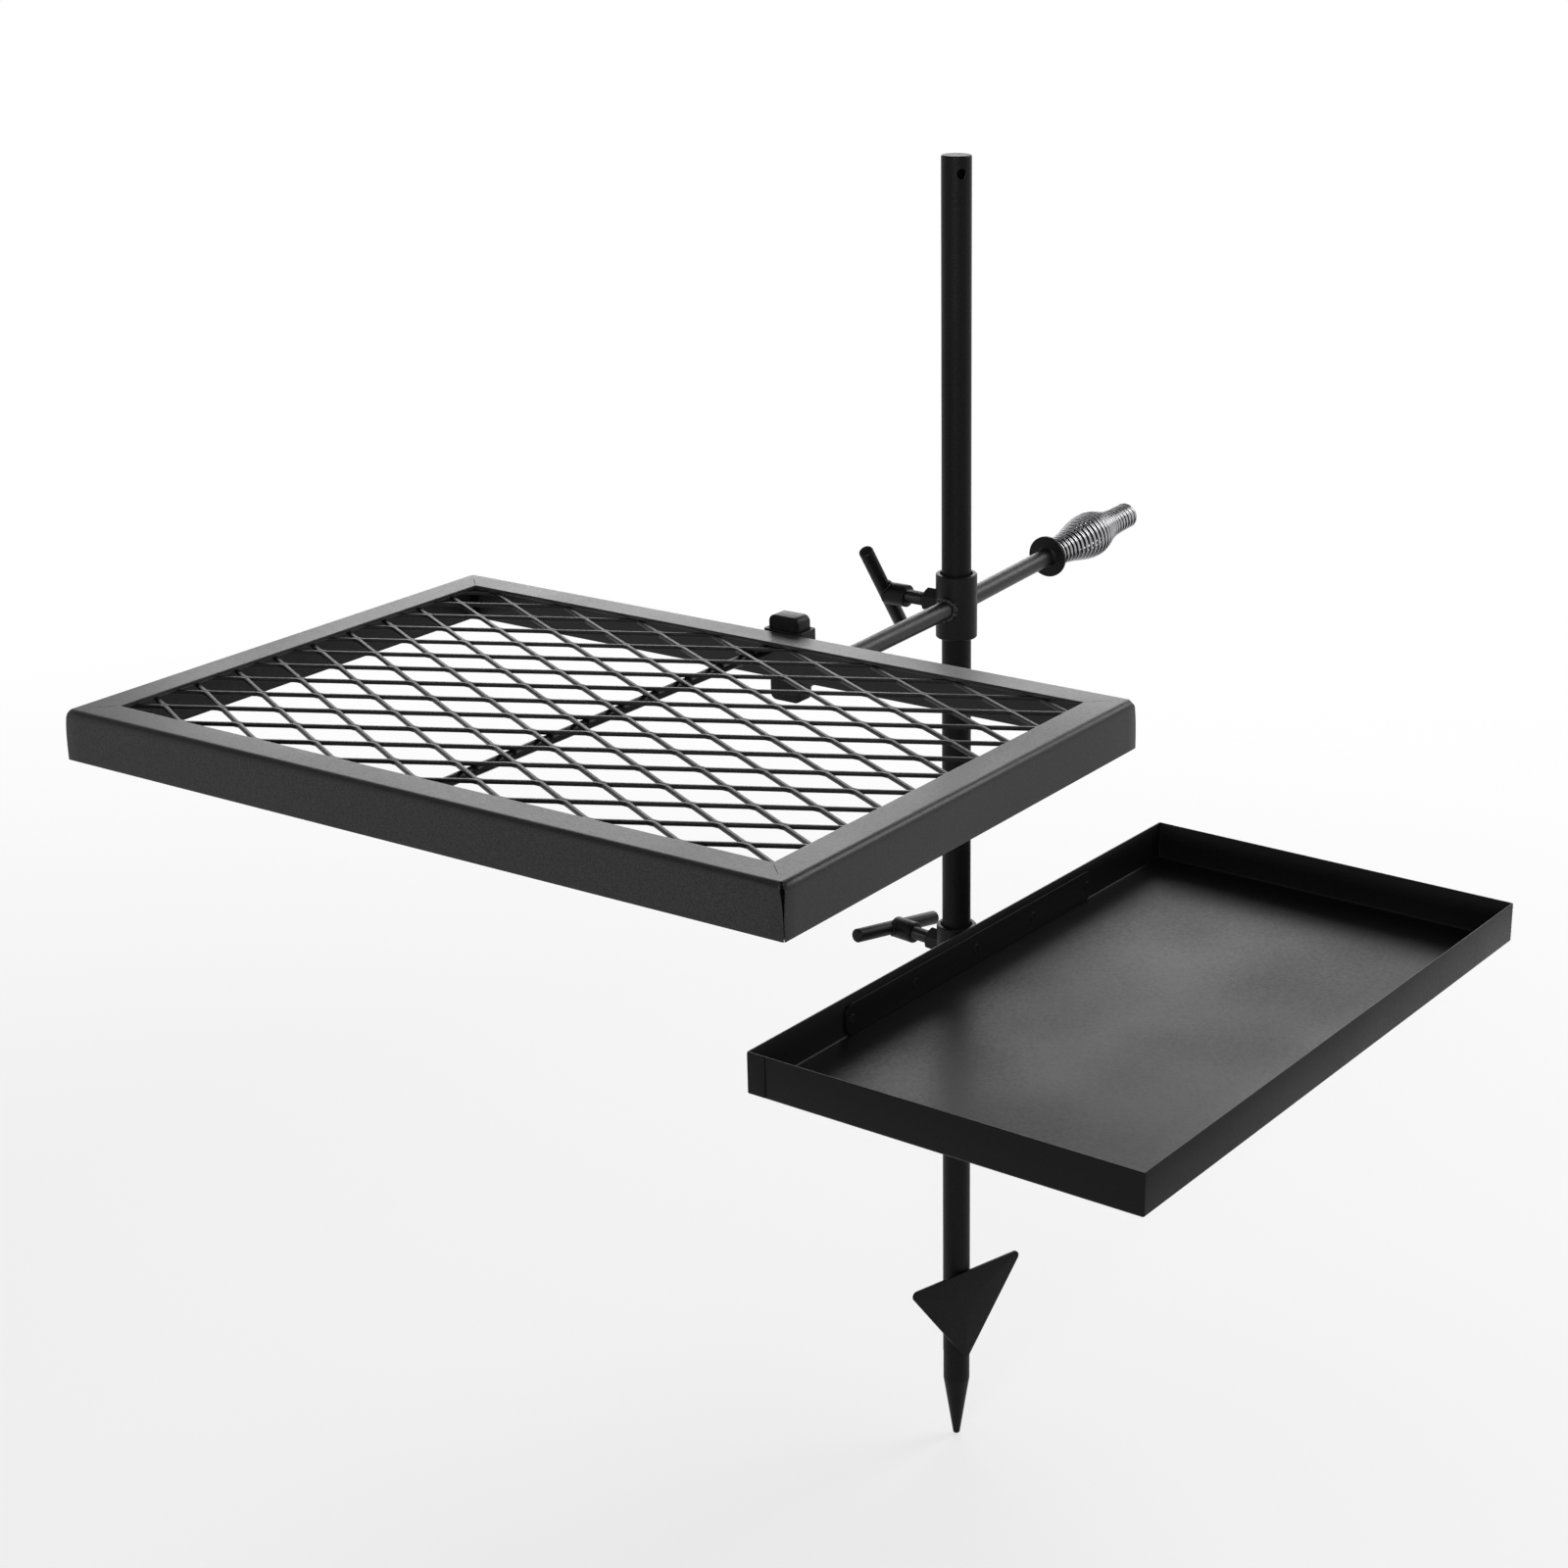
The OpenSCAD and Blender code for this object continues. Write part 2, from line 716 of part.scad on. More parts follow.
// The strip lies on the inside of the wall, from just above the floor
module griddle_strip() {
    color(sheet_black) rotate([0, 0, tray_turn]) translate([tray_in_x, 0, tray_floor + rest_gap])
        rotate([90, 0, 90]) linear_extrude(strip_t) difference() {
            rounded_plate(strip_l, strip_h, strip_round);
            for (k = [-2 : 2])
                translate([k * plug_pitch, strip_h / 2]) circle(d = plug_d + 2 * seat);
        }
}

module griddle_plug_welds() {
    proud = 0.6;
    color(sheet_black) rotate([0, 0, tray_turn])
        for (k = [-2 : 2])
            translate([tray_in_x, k * plug_pitch, tray_floor + rest_gap + strip_h / 2])
                rotate([0, 90, 0]) cylinder(d = plug_d, h = strip_t + proud);
}

pole_tube();
pole_cap();
ground_spike();
foot_plate();
foot_plate_welds();
arm_bushes();
arm_collar();
arm_nut();
arm_rod();
arm_rod_weld();
arm_tongue();
tongue_weld();
handle_rod();
handle_rod_weld();
grip_disc();
grip_spring();
arm_lock_screw();
arm_lock_boss();
arm_lock_bar();
grate_front_rail();
grate_back_rail();
grate_left_rail();
grate_right_rail();
grate_corner_welds();
grate_mesh();
grate_support_rod();
grate_sleeve();
sleeve_welds();
griddle_bushes();
griddle_collar();
griddle_nut();
griddle_tray();
griddle_welds();
griddle_strip();
griddle_plug_welds();
griddle_lock_screw();
griddle_lock_boss();
griddle_lock_bar();
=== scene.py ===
# %% [markdown]
# # Swing arm campfire grill
#
# A ground stake carries two sliding collars. The upper one swings a grate of expanded metal by a rod with a
# coil spring grip, the lower one swings a shallow griddle tray. Nearly everything is black powder coated
# steel, so the form has to be told by edges, bends, weld beads and by how softly the coat mirrors the light.
#
# The first cell loads the finished construction model. It is the fixed frame: each new piece takes its place
# from it and rides on one of its bodies.

# %% Load the frame
import math

import bpy
import bmesh
import numpy as np
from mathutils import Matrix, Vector


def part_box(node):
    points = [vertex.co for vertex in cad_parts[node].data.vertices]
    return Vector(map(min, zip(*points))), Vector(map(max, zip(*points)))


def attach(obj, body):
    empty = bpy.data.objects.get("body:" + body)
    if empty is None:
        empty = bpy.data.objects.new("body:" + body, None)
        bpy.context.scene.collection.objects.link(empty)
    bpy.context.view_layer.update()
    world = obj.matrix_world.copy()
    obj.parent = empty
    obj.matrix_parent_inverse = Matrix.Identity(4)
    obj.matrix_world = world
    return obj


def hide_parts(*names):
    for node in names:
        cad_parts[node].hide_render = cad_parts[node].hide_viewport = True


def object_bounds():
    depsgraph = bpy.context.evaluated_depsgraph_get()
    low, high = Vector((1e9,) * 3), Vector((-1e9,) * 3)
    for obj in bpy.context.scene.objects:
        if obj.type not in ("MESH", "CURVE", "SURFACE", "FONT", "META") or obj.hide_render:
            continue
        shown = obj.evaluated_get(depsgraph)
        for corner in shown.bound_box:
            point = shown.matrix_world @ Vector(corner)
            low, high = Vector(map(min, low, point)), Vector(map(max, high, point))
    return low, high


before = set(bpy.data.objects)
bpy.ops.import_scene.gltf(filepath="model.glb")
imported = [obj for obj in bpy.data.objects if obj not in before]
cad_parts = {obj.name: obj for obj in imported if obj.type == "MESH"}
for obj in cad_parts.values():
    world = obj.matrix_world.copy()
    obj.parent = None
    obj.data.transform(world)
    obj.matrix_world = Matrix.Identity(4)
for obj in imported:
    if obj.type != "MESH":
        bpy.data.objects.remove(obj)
cad_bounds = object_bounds()
print("frame box in metres:", [list(corner) for corner in cad_bounds])

# %% [markdown]
# Every shape below is worked out in millimetres, in the frame's own axes: Z runs up the pole, X points to the
# griddle and Y points to the grip. The leading sizes are read from the frame's nodes, so that a piece always
# sits where the construction says.

# %% Leading sizes
MM = 0.001


def node_box(node):
    """Lowest and highest corner of a node of the frame, in millimetres."""
    low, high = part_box(node)
    return np.array(low) / MM, np.array(high) / MM


def half_width(node):
    """Half of a node's width along X, in millimetres."""
    low, high = node_box(node)
    return (high[0] - low[0]) / 2


def middle_height(node):
    """Height of a node's middle, in millimetres."""
    low, high = node_box(node)
    return (low[2] + high[2]) / 2


collar_r, rod_r, pole_r = half_width("arm_collar"), half_width("arm_rod"), half_width("pole_tube")
arm_z, griddle_z = middle_height("arm_collar"), middle_height("griddle_collar")
arm_fall = math.radians(1.8)
handle_rise = math.radians(3.1)
tray_turn = math.radians(-2)
plate_turn = math.radians(-17)
lower_screw_turn = math.radians(-8)
# Pieces that meet a round wall stand this far off it.
hair_gap = 0.1
print("collar radius", round(collar_r, 2), "rod radius", round(rod_r, 2), "collar heights", arm_z, griddle_z)

# %% [markdown]
# A piece is made of sheets: grids of points worked out as whole arrays. One helper turns any number of sheets
# into one mesh, merges the points that meet along their borders, points the faces outwards and keeps edges
# crisp where two faces meet at more than a given angle.

# %% Sheets to mesh
# Edges stay crisp above these angles, in radians: on most pieces, on thread and mesh, and on weld beads.
CRISP = math.radians(38)
SOFT_CRISP = 1.2
WELD_CRISP = 1.4


def piece(name, sheets, material, body, nodes=(), *, crisp=CRISP):
    """Makes one object from sheets, each a (rows, columns, 3) array in millimetres.

    Neighbouring points of a sheet span quads. Points that coincide are merged, so a sheet whose border lies
    on another sheet's border, or on itself, closes there."""
    points, faces, start = [], [], 0
    for sheet in sheets:
        rows, columns = sheet.shape[:2]
        index = start + np.arange(rows * columns).reshape(rows, columns)
        quads = np.stack([index[:-1, :-1], index[1:, :-1], index[1:, 1:], index[:-1, 1:]], axis=-1)
        points.append(sheet.reshape(-1, 3))
        faces.append(quads.reshape(-1, 4))
        start += rows * columns
    mesh = bpy.data.meshes.new(name)
    mesh.from_pydata((np.concatenate(points) * MM).tolist(), [], np.concatenate(faces).tolist())
    form = bmesh.new()
    form.from_mesh(mesh)
    bmesh.ops.remove_doubles(form, verts=form.verts, dist=2e-6)
    bmesh.ops.dissolve_degenerate(form, edges=form.edges, dist=1e-7)
    bmesh.ops.recalc_face_normals(form, faces=form.faces)
    form.to_mesh(mesh)
    form.free()
    mesh.shade_smooth()
    mesh.set_sharp_from_angle(angle=crisp)
    mesh.materials.append(material)
    made = bpy.data.objects.new(name, mesh)
    bpy.context.scene.collection.objects.link(made)
    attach(made, body)
    if nodes:
        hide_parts(*nodes)
    print(name, "has", len(mesh.polygons), "faces and rides on", body)
    return made


def unit(rows):
    """The rows of an array, each brought to length one."""
    return rows / np.linalg.norm(rows, axis=1, keepdims=True)


def round_z(radius, angle, height):
    """Points at a radius and an angle round the Z axis, at a height."""
    return np.stack([radius * np.cos(angle), radius * np.sin(angle), height + 0 * angle], axis=-1)


def turned(profile, sides=64):
    """Surface of revolution: each profile point (radius, height) goes round the Z axis in equal steps."""
    angle = np.linspace(0, 2 * np.pi, sides + 1)[:, None]
    return round_z(profile[:, 0], angle, profile[:, 1])


def arc(centre, radius, start, end, steps=6):
    """Points on a circle round centre, from the start angle to the end angle, in degrees."""
    angle = np.radians(np.linspace(start, end, steps))
    return np.stack([centre[0] + radius * np.cos(angle), centre[1] + radius * np.sin(angle)], axis=-1)


def smooth(value, low, high):
    """Runs from 0 at low to 1 at high along an S curve, and stays there outside."""
    t = np.clip((value - low) / (high - low), 0, 1)
    return t * t * (3 - 2 * t)


def turn_z(points, angle, move=(0, 0, 0)):
    """Turns points round the Z axis and then moves them."""
    c, s = math.cos(angle), math.sin(angle)
    return points @ np.array([[c, s, 0], [-s, c, 0], [0, 0, 1]]) + np.array(move)


# %% [markdown]
# ## Finishes
#
# Powder coat is a thick plastic skin: it follows the steel softly, has a fine orange peel and a slight
# sparkle of light and dark grain. One material recipe serves every coated piece. Noise at three scales drives
# it: fine grain for the speckle, a coarser one for the orange peel bump, and a very broad one that keeps
# large faces from looking printed. The grate's corner weld beads get a nearly black copy of the coat. That
# is painted shade, because hardly any light gets into the inner corners.

# %% Powder coat
# Most values of a noise lie in this range.
LOW_NOISE, HIGH_NOISE = 0.3, 0.7


def colour(value):
    """A neutral grey with a trace of blue, as an RGBA tuple."""
    return (value, value, value * 1.03, 1)


def noise(nodes, links, coordinate, scale, detail):
    """A noise texture that reads the object's own coordinates, in grains per metre."""
    texture = nodes.new("ShaderNodeTexNoise")
    texture.inputs["Scale"].default_value = scale
    texture.inputs["Detail"].default_value = detail
    links.new(coordinate, texture.inputs["Vector"])
    return texture.outputs["Fac"]


def spread(nodes, links, source, low, high, to_low, to_high):
    """Stretches a value between low and high onto the range from to_low to to_high."""
    node = nodes.new("ShaderNodeMapRange")
    links.new(source, node.inputs["Value"])
    for socket, number in zip(("From Min", "From Max", "To Min", "To Max"), (low, high, to_low, to_high)):
        node.inputs[socket].default_value = number
    return node.outputs["Result"]


def maths(nodes, links, operation, first, second):
    """The result of a maths node for two sockets."""
    node = nodes.new("ShaderNodeMath")
    node.operation = operation
    links.new(first, node.inputs[0])
    links.new(second, node.inputs[1])
    return node.outputs["Value"]


def new_material(name):
    """A fresh node material: itself, its nodes, its links, its shader and the object's own coordinates."""
    material = bpy.data.materials.new(name)
    material.use_nodes = True
    nodes, links = material.node_tree.nodes, material.node_tree.links
    place = nodes.new("ShaderNodeTexCoord").outputs["Object"]
    return material, nodes, links, nodes["Principled BSDF"], place


def tint(nodes, links, shader, factor, dark, light):
    """Sets the shader's colour between two greys by a factor."""
    mix = nodes.new("ShaderNodeMix")
    mix.data_type = "RGBA"
    mix.inputs["A"].default_value = colour(dark)
    mix.inputs["B"].default_value = colour(light)
    links.new(factor, mix.inputs["Factor"])
    links.new(mix.outputs["Result"], shader.inputs["Base Color"])


def dent(nodes, links, shader, height, strength, depth):
    """Bumps the shader's surface by a height. The depth is in metres."""
    node = nodes.new("ShaderNodeBump")
    node.inputs["Strength"].default_value = strength
    node.inputs["Distance"].default_value = depth
    links.new(height, node.inputs["Height"])
    links.new(node.outputs["Normal"], shader.inputs["Normal"])


def powder_coat(name, dark, light, rough, shine, grain, peel, bump):
    """Black coat: colour between dark and light by fine grain, roughness round rough, and a small bump.

    Shine is the strength of its mirror reflection, where 0.5 is that of a plain gloss paint."""
    cloud_scale, swing, cloud_swing, peel_depth = 7, 0.04, 0.05, 0.0006
    dark_below, light_above = 0.32, 0.68
    material, nodes, links, shader, place = new_material(name)
    shader.inputs["Specular IOR Level"].default_value = shine
    fine = noise(nodes, links, place, grain, 3)
    coarse = noise(nodes, links, place, peel, 2)
    broad = noise(nodes, links, place, cloud_scale, 1)
    speckle = spread(nodes, links, fine, dark_below, light_above, 0, 1)
    tint(nodes, links, shader, speckle, dark, light)
    near = spread(nodes, links, coarse, LOW_NOISE, HIGH_NOISE, rough - swing, rough + swing)
    far = spread(nodes, links, broad, LOW_NOISE, HIGH_NOISE, -cloud_swing, cloud_swing)
    links.new(maths(nodes, links, "ADD", near, far), shader.inputs["Roughness"])
    dent(nodes, links, shader, maths(nodes, links, "ADD", fine, coarse), bump, peel_depth)
    return material


# Nearly black copy of the coat for the grate's corner welds: painted shade of the inner corners.
painted_shade_coat = powder_coat("painted_shade_coat", 0.0005, 0.002, 0.60, 0.03, grain=900, peel=400, bump=0.2)
rod_coat = powder_coat("rod_coat", 0.003, 0.014, 0.40, 0.30, grain=900, peel=420, bump=0.10)
fitting_coat = powder_coat("fitting_coat", 0.001, 0.007, 0.40, 0.13, grain=900, peel=400, bump=0.18)
grate_coat = powder_coat("grate_coat", 0.008, 0.026, 0.37, 0.19, grain=1100, peel=650, bump=0.10)
mesh_coat = powder_coat("mesh_coat", 0.001, 0.006, 0.38, 0.13, grain=900, peel=450, bump=0.16)
pole_coat = powder_coat("pole_coat", 0.001, 0.006, 0.45, 0.10, grain=800, peel=500, bump=0.30)
sheet_coat = powder_coat("sheet_coat", 0.002, 0.006, 0.37, 0.10, grain=1200, peel=320, bump=0.03)
coats = (painted_shade_coat, rod_coat, fitting_coat, grate_coat, mesh_coat, pole_coat, sheet_coat)
print("coats:", [coat.name for coat in coats])

# %% [markdown]
# The other finishes are bare metal: the bright wire of the grip, the oiled screw threads and the bush rings
# inside the collars. Drawing and cutting leave faint marks on them, so one noise moves their colour, their
# roughness and a very shallow bump together.

# %% Bare metal


def bare_metal(name, dark, light, rough, swing, scale=300, bump=0.05):
    """Metal whose colour and roughness wander a little with noise."""
    mark_depth = 0.0003
    material, nodes, links, shader, place = new_material(name)
    shader.inputs["Metallic"].default_value = 1.0
    mark = noise(nodes, links, place, scale, 3)
    tint(nodes, links, shader, mark, dark, light)
    wander = spread(nodes, links, mark, LOW_NOISE, HIGH_NOISE, rough - swing, rough + swing)
    links.new(wander, shader.inputs["Roughness"])
    dent(nodes, links, shader, mark, bump, mark_depth)
    return material


bright_wire = bare_metal("bright_wire", 0.28, 0.44, 0.12, 0.03, scale=500)
oiled_thread = bare_metal("oiled_thread", 0.03, 0.08, 0.34, 0.08, scale=900, bump=0.1)
bush_steel = bare_metal("bush_steel", 0.10, 0.18, 0.45, 0.08)
print("metals:", bright_wire.name, oiled_thread.name, bush_steel.name)

# %% [markdown]
# The plain turned and drawn parts (pole, cap, spike, rods, collars, bushes, the rod under the mesh) already
# have their real shape in the frame, so they stay and only get their finish.

# %% Finish of the frame's own nodes
# The rod under the mesh is black coated, and it takes the darker mesh coat as painted shade from the mesh
# above it.
kept = {
    "pole_tube": pole_coat, "pole_cap": pole_coat, "ground_spike": pole_coat,
    "arm_collar": fitting_coat, "griddle_collar": fitting_coat, "arm_rod": rod_coat, "handle_rod": rod_coat,
    "grate_support_rod": mesh_coat, "arm_bushes": bush_steel, "griddle_bushes": bush_steel,
}
for name, material in kept.items():
    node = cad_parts[name]
    node.data.materials.clear()
    node.data.materials.append(material)
print("kept nodes:", len(kept))

# %% [markdown]
# ## Rods and their welds
#
# Both rods start on the pole's axis. The arm rod falls a little towards the grate and the handle rod rises
# towards the grip, and each is welded to the collar's round wall.
#
# A hand weld is a row of overlapping round puddles. A bead here is a tube along the seam whose radius swells
# and shrinks with each puddle, with a slower drift over the whole seam, and narrows at open ends.

# %% Weld beads
ALONG_X = (1, 0, 0)
ALONG_Y = (0, 1, 0)
ALONG_Z = (0, 0, 1)


def ring_rows(path, first, second, radius, sides):
    """A round ring at each point of a path, spanned by two directions square to it."""
    angle = np.linspace(0, 2 * np.pi, sides + 1)
    radius = np.broadcast_to(radius, len(path))[:, None, None]
    ring = np.cos(angle)[None, :, None] * first[:, None] + np.sin(angle)[None, :, None] * second[:, None]
    return path[:, None] + radius * ring


def capped(sheet, path):
    """Closes the ends of a tube: each draws together on the end of its middle line."""
    ends = [np.repeat(path[i][None, None], sheet.shape[1], axis=1) for i in (0, -1)]
    return np.concatenate([ends[0], sheet, ends[1]])


def tube(path, radius, sides, closed, up):
    """Tube along a path. The up direction must never run along the path."""
    if closed:
        ahead, behind = np.roll(path, -1, axis=0), np.roll(path, 1, axis=0)
    else:
        ahead = np.vstack([path[1:], path[-1:]])
        behind = np.vstack([path[:1], path[:-1]])
    run = unit(ahead - behind)
    first = unit(np.cross(run, up))
    second = np.cross(run, first)
    sheet = ring_rows(path, first, second, radius, sides)
    return np.concatenate([sheet, sheet[:1]]) if closed else capped(sheet, path)


def bead(path, size, puddle=2.6, closed=False, up=ALONG_X):
    """Weld bead: a tube whose radius rises and falls once for each puddle length along the path."""
    swell, drift, drift_waves, tip = 0.13, 0.05, 8.1, 0.35
    steps = np.linalg.norm(np.diff(path, axis=0), axis=1)
    run = np.concatenate([[0], np.cumsum(steps)])
    count = max(3, round(run[-1] / puddle))
    lap = run / run[-1] * 2 * np.pi
    radius = size * (1 + swell * np.sin(lap * count) + drift * np.sin(lap * drift_waves + 1))
    if not closed:
        radius = radius * (tip + (1 - tip) * np.minimum(1, np.minimum(run, run[-1] - run) / size))
    return tube(path, radius, 10, closed, up)


def straight(start, end):
    """Points on a straight line, close enough to show each puddle of a bead."""
    step = 0.45
    start, end = np.asarray(start, float), np.asarray(end, float)
    count = max(4, int(np.linalg.norm(end - start) / step))
    return start + (end - start) * np.linspace(0, 1, count)[:, None]


def plumb_beads(xs, ys, foot, top, size, puddle=2.6, turn=0.0):
    """Upright weld beads at each X with each Y, from foot to top, turned round the pole."""
    seams = [turn_z(straight((x, y, foot), (x, y, top)), turn) for x in xs for y in ys]
    return [bead(seam, size, puddle) for seam in seams]


def collar_seam(side):
    """Where a rod meets its collar: round the rod, at the depth of the collar's round wall."""
    seam_r, stand_off = rod_r + 0.6, 0.4
    angle = np.linspace(0, 2 * np.pi, 180, endpoint=False)
    x = seam_r * np.cos(angle)
    depth = np.sqrt(collar_r**2 - x**2)
    slope = math.tan(handle_rise) if side > 0 else -math.tan(arm_fall)
    return np.stack([x, side * (depth + stand_off), arm_z + slope * depth + seam_r * np.sin(angle)], axis=-1)


rod_bead, rod_puddle = 2.5, 4.4
for name, side in (("arm_rod_weld", -1), ("handle_rod_weld", 1)):
    seam = bead(collar_seam(side), rod_bead, rod_puddle, closed=True, up=ALONG_Y)
    piece(name, [seam], rod_coat, "swing_arm", [name], crisp=WELD_CRISP)

# %% [markdown]
# ## Tongue, foot plate and stiffening strip
#
# All three are flat steel with round corners, cut, deburred and coated, so every edge has a small soft
# rounding that catches the light. They share one function: an outline of arcs round the corners, carried
# through the thickness, where the first and last steps shrink the outline along a quarter circle.

# %% Flat bars with soft edges


def rectangle(left, right, foot, top):
    """Corners of a rectangle, counted against the clock."""
    return [(left, foot), (right, foot), (right, top), (left, top)]


def at_height(outline, z):
    """Lays a flat outline at a height."""
    return np.column_stack([outline, np.full(len(outline), z)])


def corner_outline(corners, radius, shrink, steps=10):
    """Closed outline of a convex shape: at each corner, an arc of the given radius less the shrink.

    The arcs keep their centres, so the outline shrinks evenly on all sides."""
    corners = np.asarray(corners, float)
    ahead = unit(np.roll(corners, -1, axis=0) - corners)
    behind = unit(corners - np.roll(corners, 1, axis=0))
    radius = np.broadcast_to(radius, len(corners))
    bend = np.arccos(np.clip((ahead * behind).sum(1), -1, 1))
    inward = unit(ahead - behind)
    centres = corners + inward * (radius / np.cos(bend / 2))[:, None]
    start = np.arctan2(-behind[:, 0], behind[:, 1])
    angle = start[:, None] + bend[:, None] * np.linspace(0, 1, steps)
    reach = (radius - shrink)[:, None]
    x = centres[:, :1] + reach * np.cos(angle)
    y = centres[:, 1:] + reach * np.sin(angle)
    points = np.stack([x, y], axis=-1).reshape(-1, 2)
    return np.vstack([points, points[:1]])


def flat_bar(corners, radius, thickness, edge):
    """Solid with the given outline in X and Y and its thickness along Z, with rounded edges."""
    turn = np.radians(np.linspace(90, 0, 5))
    shrink = edge * (1 - np.cos(turn))
    height = edge * (1 - np.sin(turn))
    levels = np.concatenate([height, (thickness - height)[::-1]])
    shrinks = np.concatenate([shrink, shrink[::-1]])
    rings = [at_height(corner_outline(corners, radius, less), z) for z, less in zip(levels, shrinks)]
    middle = np.tile(np.mean(corners, axis=0), (len(rings[0]), 1))
    return np.stack([at_height(middle, 0), *rings, at_height(middle, thickness)])


def upright(points, y, x=0.0, z=0.0):
    """Stands a flat shape up: its X stays, its Y becomes Z, and its thickness runs towards -Y."""
    return np.stack([points[..., 0] + x, y - points[..., 2], points[..., 1] + z], axis=-1)


def facing_x(points, x, z=0.0):
    """Stands a flat shape up: its X becomes Y, its Y becomes Z, and its thickness runs towards +X."""
    return np.stack([points[..., 2] + x, points[..., 0], points[..., 1] + z], axis=-1)


tongue_low, tongue_high = node_box("arm_tongue")
tongue_w, tongue_t, tongue_h = tongue_high - tongue_low
tongue_round, tongue_edge = 5.5, 0.9
tongue_corners = rectangle(-tongue_w / 2, tongue_w / 2, 0, tongue_h)
tongue = flat_bar(tongue_corners, tongue_round, tongue_t, tongue_edge)
tongue = upright(tongue, tongue_high[1], z=tongue_low[2])
piece("arm_tongue", [tongue], fitting_coat, "swing_arm", ["arm_tongue"])

# The sharp corners of the triangle reach this far past the rounded ones.
sharp_side, sharp_tip = 4.5, 7.4
plate_w, plate_h, plate_t, plate_edge = 130, 87, 3, 0.7
plate_side_round, plate_tip_round = 5, 3
plate_corners = [(-plate_w / 2 - sharp_side, 0), (0, -plate_h - sharp_tip), (plate_w / 2 + sharp_side, 0)]
plate_rounds = [plate_side_round, plate_tip_round, plate_side_round]
plate = flat_bar(plate_corners, plate_rounds, plate_t, plate_edge)
plate = turn_z(facing_x(plate, pole_r + hair_gap), plate_turn)
piece("foot_plate", [plate], pole_coat, "pole", ["foot_plate"])

# %% [markdown]
# The foot plate is welded along both sides of the pole, from behind. The tongue is welded to the end of the
# arm rod, below the place where the grate's sleeve sits.

# %% Welds of plate and tongue
plate_seams = plumb_beads(xs=[pole_r - 2.2], ys=(-7.6, 7.6), foot=-52, top=-8, size=2.4, turn=plate_turn)
piece("foot_plate_welds", plate_seams, pole_coat, "pole", ["foot_plate_welds"],
      crisp=WELD_CRISP)

rod_end_z = arm_z - abs(tongue_high[1]) * math.tan(arm_fall)
under = np.radians(np.linspace(198, 342, 60))
seam_r, stand_off, tongue_bead = rod_r + 0.5, 0.5, 2.0
foot_seam = np.stack([
    seam_r * np.cos(under),
    np.full_like(under, tongue_high[1] + stand_off),
    rod_end_z + seam_r * np.sin(under),
], axis=-1)
piece("tongue_weld", [bead(foot_seam, tongue_bead, up=ALONG_Y)], fitting_coat, "swing_arm", ["tongue_weld"],
      crisp=WELD_CRISP)

# %% [markdown]
# ## Grip
#
# The grip is a coil of bright wire that is widest near its middle, so that air passes through and the hand
# stays off the hot rod. The wire's middle line is a helix whose radius swells along a bell curve, steeper on
# its far side. It leaves the disc square to it and its far end is cut off plain. Both pieces are worked out
# round the handle rod's own axis and then carried into the frame.

# %% Spring grip and disc
disc_at, disc_t, disc_r = 150.5, 3.5, 18.5
spring_len, wire_r, turns, steps_per_turn = 145, 1.45, 25.6, 35
end_r, swell_r, peak, rise, fall = rod_r + 1.15 + wire_r, 9, 0.48, 0.25, 0.18
lead = 3.2 * wire_r
wire_skin_r = 0.985 * wire_r


def along_handle(points):
    """From the handle rod's axes, with Z along the rod and X level, to the frame."""
    c, s = math.cos(handle_rise), math.sin(handle_rise)
    x, y, z = points[..., 0], points[..., 1], points[..., 2]
    return np.stack([x, c * z + s * y, arm_z + s * z - c * y], axis=-1)


share = np.linspace(0, 1, round(turns * steps_per_turn) + 1)
width = np.where(share < peak, rise, fall)
coil_radius = end_r + swell_r * np.exp(-(((share - peak) / width) ** 2))
coil_angle = 2 * np.pi * turns * share
coil = np.stack([
    coil_radius * np.cos(coil_angle),
    coil_radius * np.sin(coil_angle),
    lead + share * (spring_len - lead - wire_r),
], axis=-1)
stub_rise = np.array([0, 1.2, 2.6])
stub = np.stack([np.full(3, coil_radius[0]), 0 * stub_rise, stub_rise], axis=-1)
wire = np.vstack([stub, coil[2:]])
outward = unit(wire * np.array([1, 1, 0]))


def wound_tube(path, out, radius):
    """Tube along a wound path. Its rings are set by the direction out from the coil's axis."""
    run = unit(np.gradient(path, axis=0))
    first = unit(out - (out * run).sum(1, keepdims=True) * run)
    return capped(ring_rows(path, first, np.cross(run, first), radius, 12), path)


spring = wound_tube(wire, outward, wire_skin_r)
spring = along_handle(spring + np.array([0, 0, disc_at + disc_t]))
piece("grip_spring", [spring], bright_wire, "swing_arm", ["grip_spring"])

disc_edge, bore = 0.8, rod_r + 0.05
fillet = np.array([(0.05, -1.6), (0.5, -1.2), (1.0, -0.7), (1.6, -0.25), (2.4, 0)])
disc_profile = np.vstack([
    [(bore, 0)],
    fillet + (rod_r, 0),
    arc((disc_r - disc_edge, disc_edge), disc_edge, -90, 0, 5),
    arc((disc_r - disc_edge, disc_t - disc_edge), disc_edge, 0, 90, 5),
    [(bore, disc_t), (bore, 0)],
])
disc = along_handle(turned(disc_profile) + np.array([0, 0, disc_at]))
piece("grip_disc", [disc], fitting_coat, "swing_arm", ["grip_disc"])

# %% [markdown]
# ## Lock screws
#
# Each collar is clamped by a screw with a welded T-handle. The parts are turned round the screw's axis: the
# hexagon nut with its chamfered corners, the real helical thread, the round boss and the bar across it. They
# are worked out once in the screw's own axes, with Z pointing away from the pole and X pointing up, and then
# placed twice.

# %% Screw axes and the thread
screw_r, pitch = 6.0, 1.75
nut_flat, nut_face = 9.5, collar_r + 12.5
boss_at, bar_at, boss_r, bar_r, bar_half = nut_face + 19, nut_face + 42.5, 9.75, 6.35, 54.0


